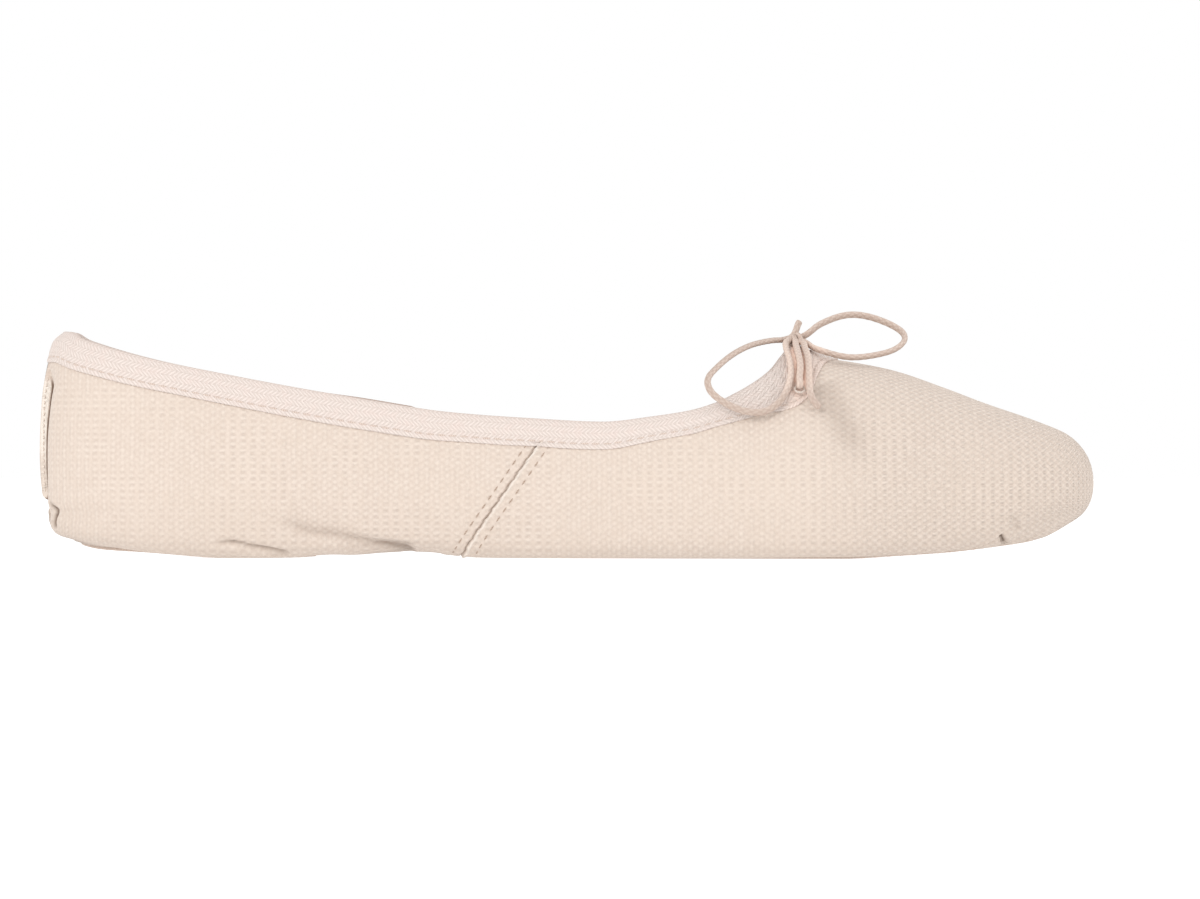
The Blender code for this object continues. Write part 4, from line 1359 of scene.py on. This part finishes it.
def stitchMesh(name, places, width, height):
    # one small rounded stitch for each place, with its map along the thread
    bm = bmesh.new()
    mapLayer = bm.loops.layers.uv.new("cloth")
    for middle, direction, normal in places:
        long = Vector(direction)
        half = long.length / 2 * mm
        long.normalize()
        up = Vector(normal)
        up = (up - long * up.dot(long)).normalized()
        across = up.cross(long)
        turn = Matrix((long, across, up)).transposed().to_4x4()
        turn = Matrix.Translation(Vector(toShoe(middle))) @ turn
        grow = Matrix.Diagonal((half, width / 2 * mm, height / 2 * mm, 1))
        made = bmesh.ops.create_uvsphere(bm, u_segments=8, v_segments=5, radius=1.0,
                                         matrix=turn @ grow @ Matrix.Rotation(math.pi / 2, 4, "Y"))
        back = turn.inverted()
        for vert in made["verts"]:
            local = back @ vert.co
            for loop in vert.link_loops:
                loop[mapLayer].uv = (local.x / mm / 100, local.y / mm / 100)
    return freshMesh(name, bm)


def addStitches(name, places, slot, material, kind):
    mesh = stitchMesh(name, places, stitches[kind]["width"], stitches[kind]["height"])
    addPiece(name, mesh, slot, material)


def casingStitches():
    numbers, side = ring(np.linspace(0, 3, 900))
    depth = casingDepth(numbers) - casing["stitchIn"]
    offset = casingOffset(numbers, depth, crestRun(numbers, side), side)[0] + casing["tape"] / 2
    outerPath, outerNormals = casingPoint(numbers, depth, offset, side)
    innerPath, innerNormals = casingPoint(
        numbers, np.full_like(numbers, 4.1), -(upper["wall"] + casing["lift"] + 0.2), side)
    return alongPath(outerPath, outerNormals, "casing"), alongPath(innerPath, -innerNormals, "casing")


def onSide(x, z, side):
    # a point of the finished canvas at x and height z in the side view
    number = np.full(400, numberAtStation(x))
    levels = np.linspace(1.9, 4, 400)
    heights = skin.at(number, levels, np.full(400, side))[0][:, 2]
    level = np.interp(z, heights, levels)
    point, normal, _, _ = upperPoint(number[:1], np.array([level]), np.array([side]))
    return point[0], normal[0]


def sideSeamStitches():
    places = []
    for side in (-1.0, 1.0):
        for off in upper["seamRows"]:
            points, normals = [], []
            for z in np.linspace(1.6, 27.2, 60):
                x = upper["seamAt"] + upper["seamLean"] * (z - upper["seamHeight"])
                x += off * math.hypot(1, upper["seamLean"])
                point, normal = onSide(x, z, side)
                points.append(point + normal * 0.04)
                normals.append(normal)
            places += alongPath(np.array(points), np.array(normals), "sideSeam", 0.3)
    return places


def heelSeamStitches():
    # running stitches on both flanks of the back seam's ridge
    levels = np.linspace(2.2, 4, 500)
    back = skin.at(np.zeros(500), levels, np.ones(500))[0]
    places = []
    for z in np.arange(15.2, 41.2, stitches["heelSeam"]["pitch"]):
        ends = (z, z + stitches["heelSeam"]["length"])
        low, high = (np.array([np.interp(at, back[:, 2], back[:, 0]), 0, at]) for at in ends)
        for side in (-1.0, 1.0):
            middle = (low + high) / 2 + (0.75, side * 1.2, 0)
            places.append((middle, high - low, np.array((0, side, 0))))
    return places


eyelet = {"radius": 1.15, "rounds": 1.02, "points": 40, "width": 0.55, "thickness": 0.5, "sides": 10, "relief": 0.02}


def addEyelets():
    # a stitched ring round each hole that the drawstring comes out of
    for name, place in throatExit.items():
        gap = np.array(place) - knotPlace
        out = Vector((0.08, math.copysign(0.6, gap[1]), 0.8)).normalized()
        turn = out.to_track_quat("Z", "Y").to_matrix()
        path = []
        for t in np.linspace(0, 2 * math.pi * eyelet["rounds"], eyelet["points"]):
            x, y = eyelet["radius"] * math.cos(t), eyelet["radius"] * math.sin(t)
            path.append(turn @ Vector((x, y - 0.35, 0.1)))
        mesh = sweepCord(name + "Eyelet", np.array(path) + place, eyelet["width"], eyelet["thickness"],
                         eyelet["sides"], eyelet["relief"])
        addPiece(name + "Eyelet", mesh, "binding", ringThread)


outerStitches, innerStitches = casingStitches()
addStitches("casingStitches", outerStitches, "binding", paleThread, "casing")
addStitches("casingInnerStitches", innerStitches, "binding", paleThread, "casing")
addStitches("sideSeamStitches", sideSeamStitches(), "canvas", seamThread, "sideSeam")
addStitches("heelSeamStitches", heelSeamStitches(), "canvas", ringThread, "heelSeam")
addEyelets()
print("seams stitched")


# soles and insole

sole = {"rise": 0.0, "thickness": 1.0, "edge": 0.42, "stitchIn": 1.9, "groove": 0.22, "heelLines": 46, "frontLines": 96}
sock = {"rise": 2.9, "thickness": 0.9, "edge": 0.35, "groove": 0.0, "stitchIn": 2.0}
endTaper = 7.0  # mm of reach over which a pad's edge narrows at its rounded end


def padColumns(first, final, roundedAt, lines):
    # girth numbers of one side of a pad, closer together at its rounded inner end
    t = np.linspace(0, 1, lines)
    t = t**1.5 if roundedAt == "first" else 1 - (1 - t) ** 1.5
    return first + (final - first) * t


def padReach(numbers, margin):
    return np.interp(numbers, skin.numbers, skin.outline) - margin(numbers)


def padPoints(numbers, side, reach, pad):
    # rows from under the middle, out round the edge and back over the top
    thickness, edge, stitchIn = pad["thickness"], pad["edge"], pad["stitchIn"]
    small = np.clip(reach / endTaper, 0, 1)
    rows = [(reach * s, 0.0) for s in (0, 0.3, 0.55, 0.75)]
    for inset, height in ((stitchIn + 0.8, 0), (stitchIn + 0.35, 0.02), (stitchIn, pad["groove"]),
                          (stitchIn - 0.35, 0.02), (stitchIn - 0.8, 0), (edge * 1.4, 0.02),
                          (edge * 0.5, edge * 0.3), (edge * 0.12, edge * 0.7), (0, thickness / 2),
                          (edge * 0.12, thickness - edge * 0.7), (edge * 0.5, thickness - edge * 0.3),
                          (edge * 1.4, thickness - 0.02)):
        rows.append((reach - inset * small, height))
    rows += [(reach * s, thickness) for s in (0.8, 0.55, 0.25, 0)]
    axis, dx, dy = girthPlanes(numbers)
    points = []
    for out, height in rows:
        x = axis + out * dx
        points.append(np.stack([x, out * dy * side, soleLevel(x) + pad["rise"] + height], axis=1))
    return np.stack(points, axis=1)


def addPad(name, points, slot, material, replaced):
    mesh = sheetMesh(name, points, points[..., :2], mergeBelow=0.01)
    faceOutward(mesh)
    piece = addPiece(name, mesh, slot, material)
    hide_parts(replaced)


def padEdgePath(numbers, side, reach, inset, height):
    axis, dx, dy = girthPlanes(numbers)
    out = reach - inset * np.clip(reach / endTaper, 0, 1)
    x = axis + out * dx
    points = np.stack([x, out * dy * side, soleLevel(x) + height], axis=1)
    return points, np.tile((0.0, 0.0, -1.0), (len(points), 1))


def buildSoles():
    heelEnd, frontStart = (numberAtStation(last[key]) for key in ("heelSoleEnd", "frontSoleStart"))
    pads = (("heelSole", "heel_sole", padColumns(0.0, heelEnd, "last", sole["heelLines"])[::-1]),
            ("forefootSole", "forefoot_sole", padColumns(frontStart, 3.0, "first", sole["frontLines"])))
    for name, replaced, numbers in pads:
        wide, side = ring(numbers)
        reach = padReach(wide, soleMargin) * soleShare(girthPlanes(wide)[0])
        points = padPoints(wide, side, reach, sole)
        addPad(name, points, "suede", suede, replaced)
        path, normals = padEdgePath(wide, side, reach, sole["stitchIn"], 0.1)
        addStitches(name + "Stitches", alongPath(path, normals, "sole"), "suede", soleThread, "sole")


def buildInsole():
    wide, side = ring(np.concatenate([skin.evenNumbers(3.0, 0.0, 1.0, 2.4)[:-1],
                                      skin.evenNumbers(3.0, 1.0, 2.0, 2.4)[:-1],
                                      skin.evenNumbers(3.0, 2.0, 3.0, 2.0)]))
    reach = padReach(wide, insoleMargin)
    points = padPoints(wide, side, reach, sock)
    top = points[..., 2] - soleLevel(points[..., 0]) > sock["rise"] + 0.6
    x, y = points[..., 0], points[..., 1]
    points[..., 2] += top * (0.1 * np.sin(x / 9.0) * np.sin(y / 7.0 + x / 23.0) - 0.1)
    addPad("sockInsole", points, "lining", sockCloth, "insole")
    path, normals = padEdgePath(wide, side, reach, 2.2, sock["rise"] + sock["thickness"] - 0.03)
    addStitches("insoleStitches", alongPath(path, -normals, "insole"), "lining", paleThread, "insole")


buildSoles()
buildInsole()
print("soles and insole laid")


# floor

def makeFloor():
    bm = bmesh.new()
    bmesh.ops.create_grid(bm, x_segments=1, y_segments=1, size=studio["floorSize"] / 2)
    made = linked("floor", freshMesh("floor", bm))
    made.data.materials.append(NodeSheet("paleFloor").finish({
        "Base Color": studio["floorColour"], "Emission Color": (1, 1, 1, 1),
        "Emission Strength": studio["floorGlow"], "Roughness": studio["floorRoughness"]}))
    return made


floor = makeFloor()
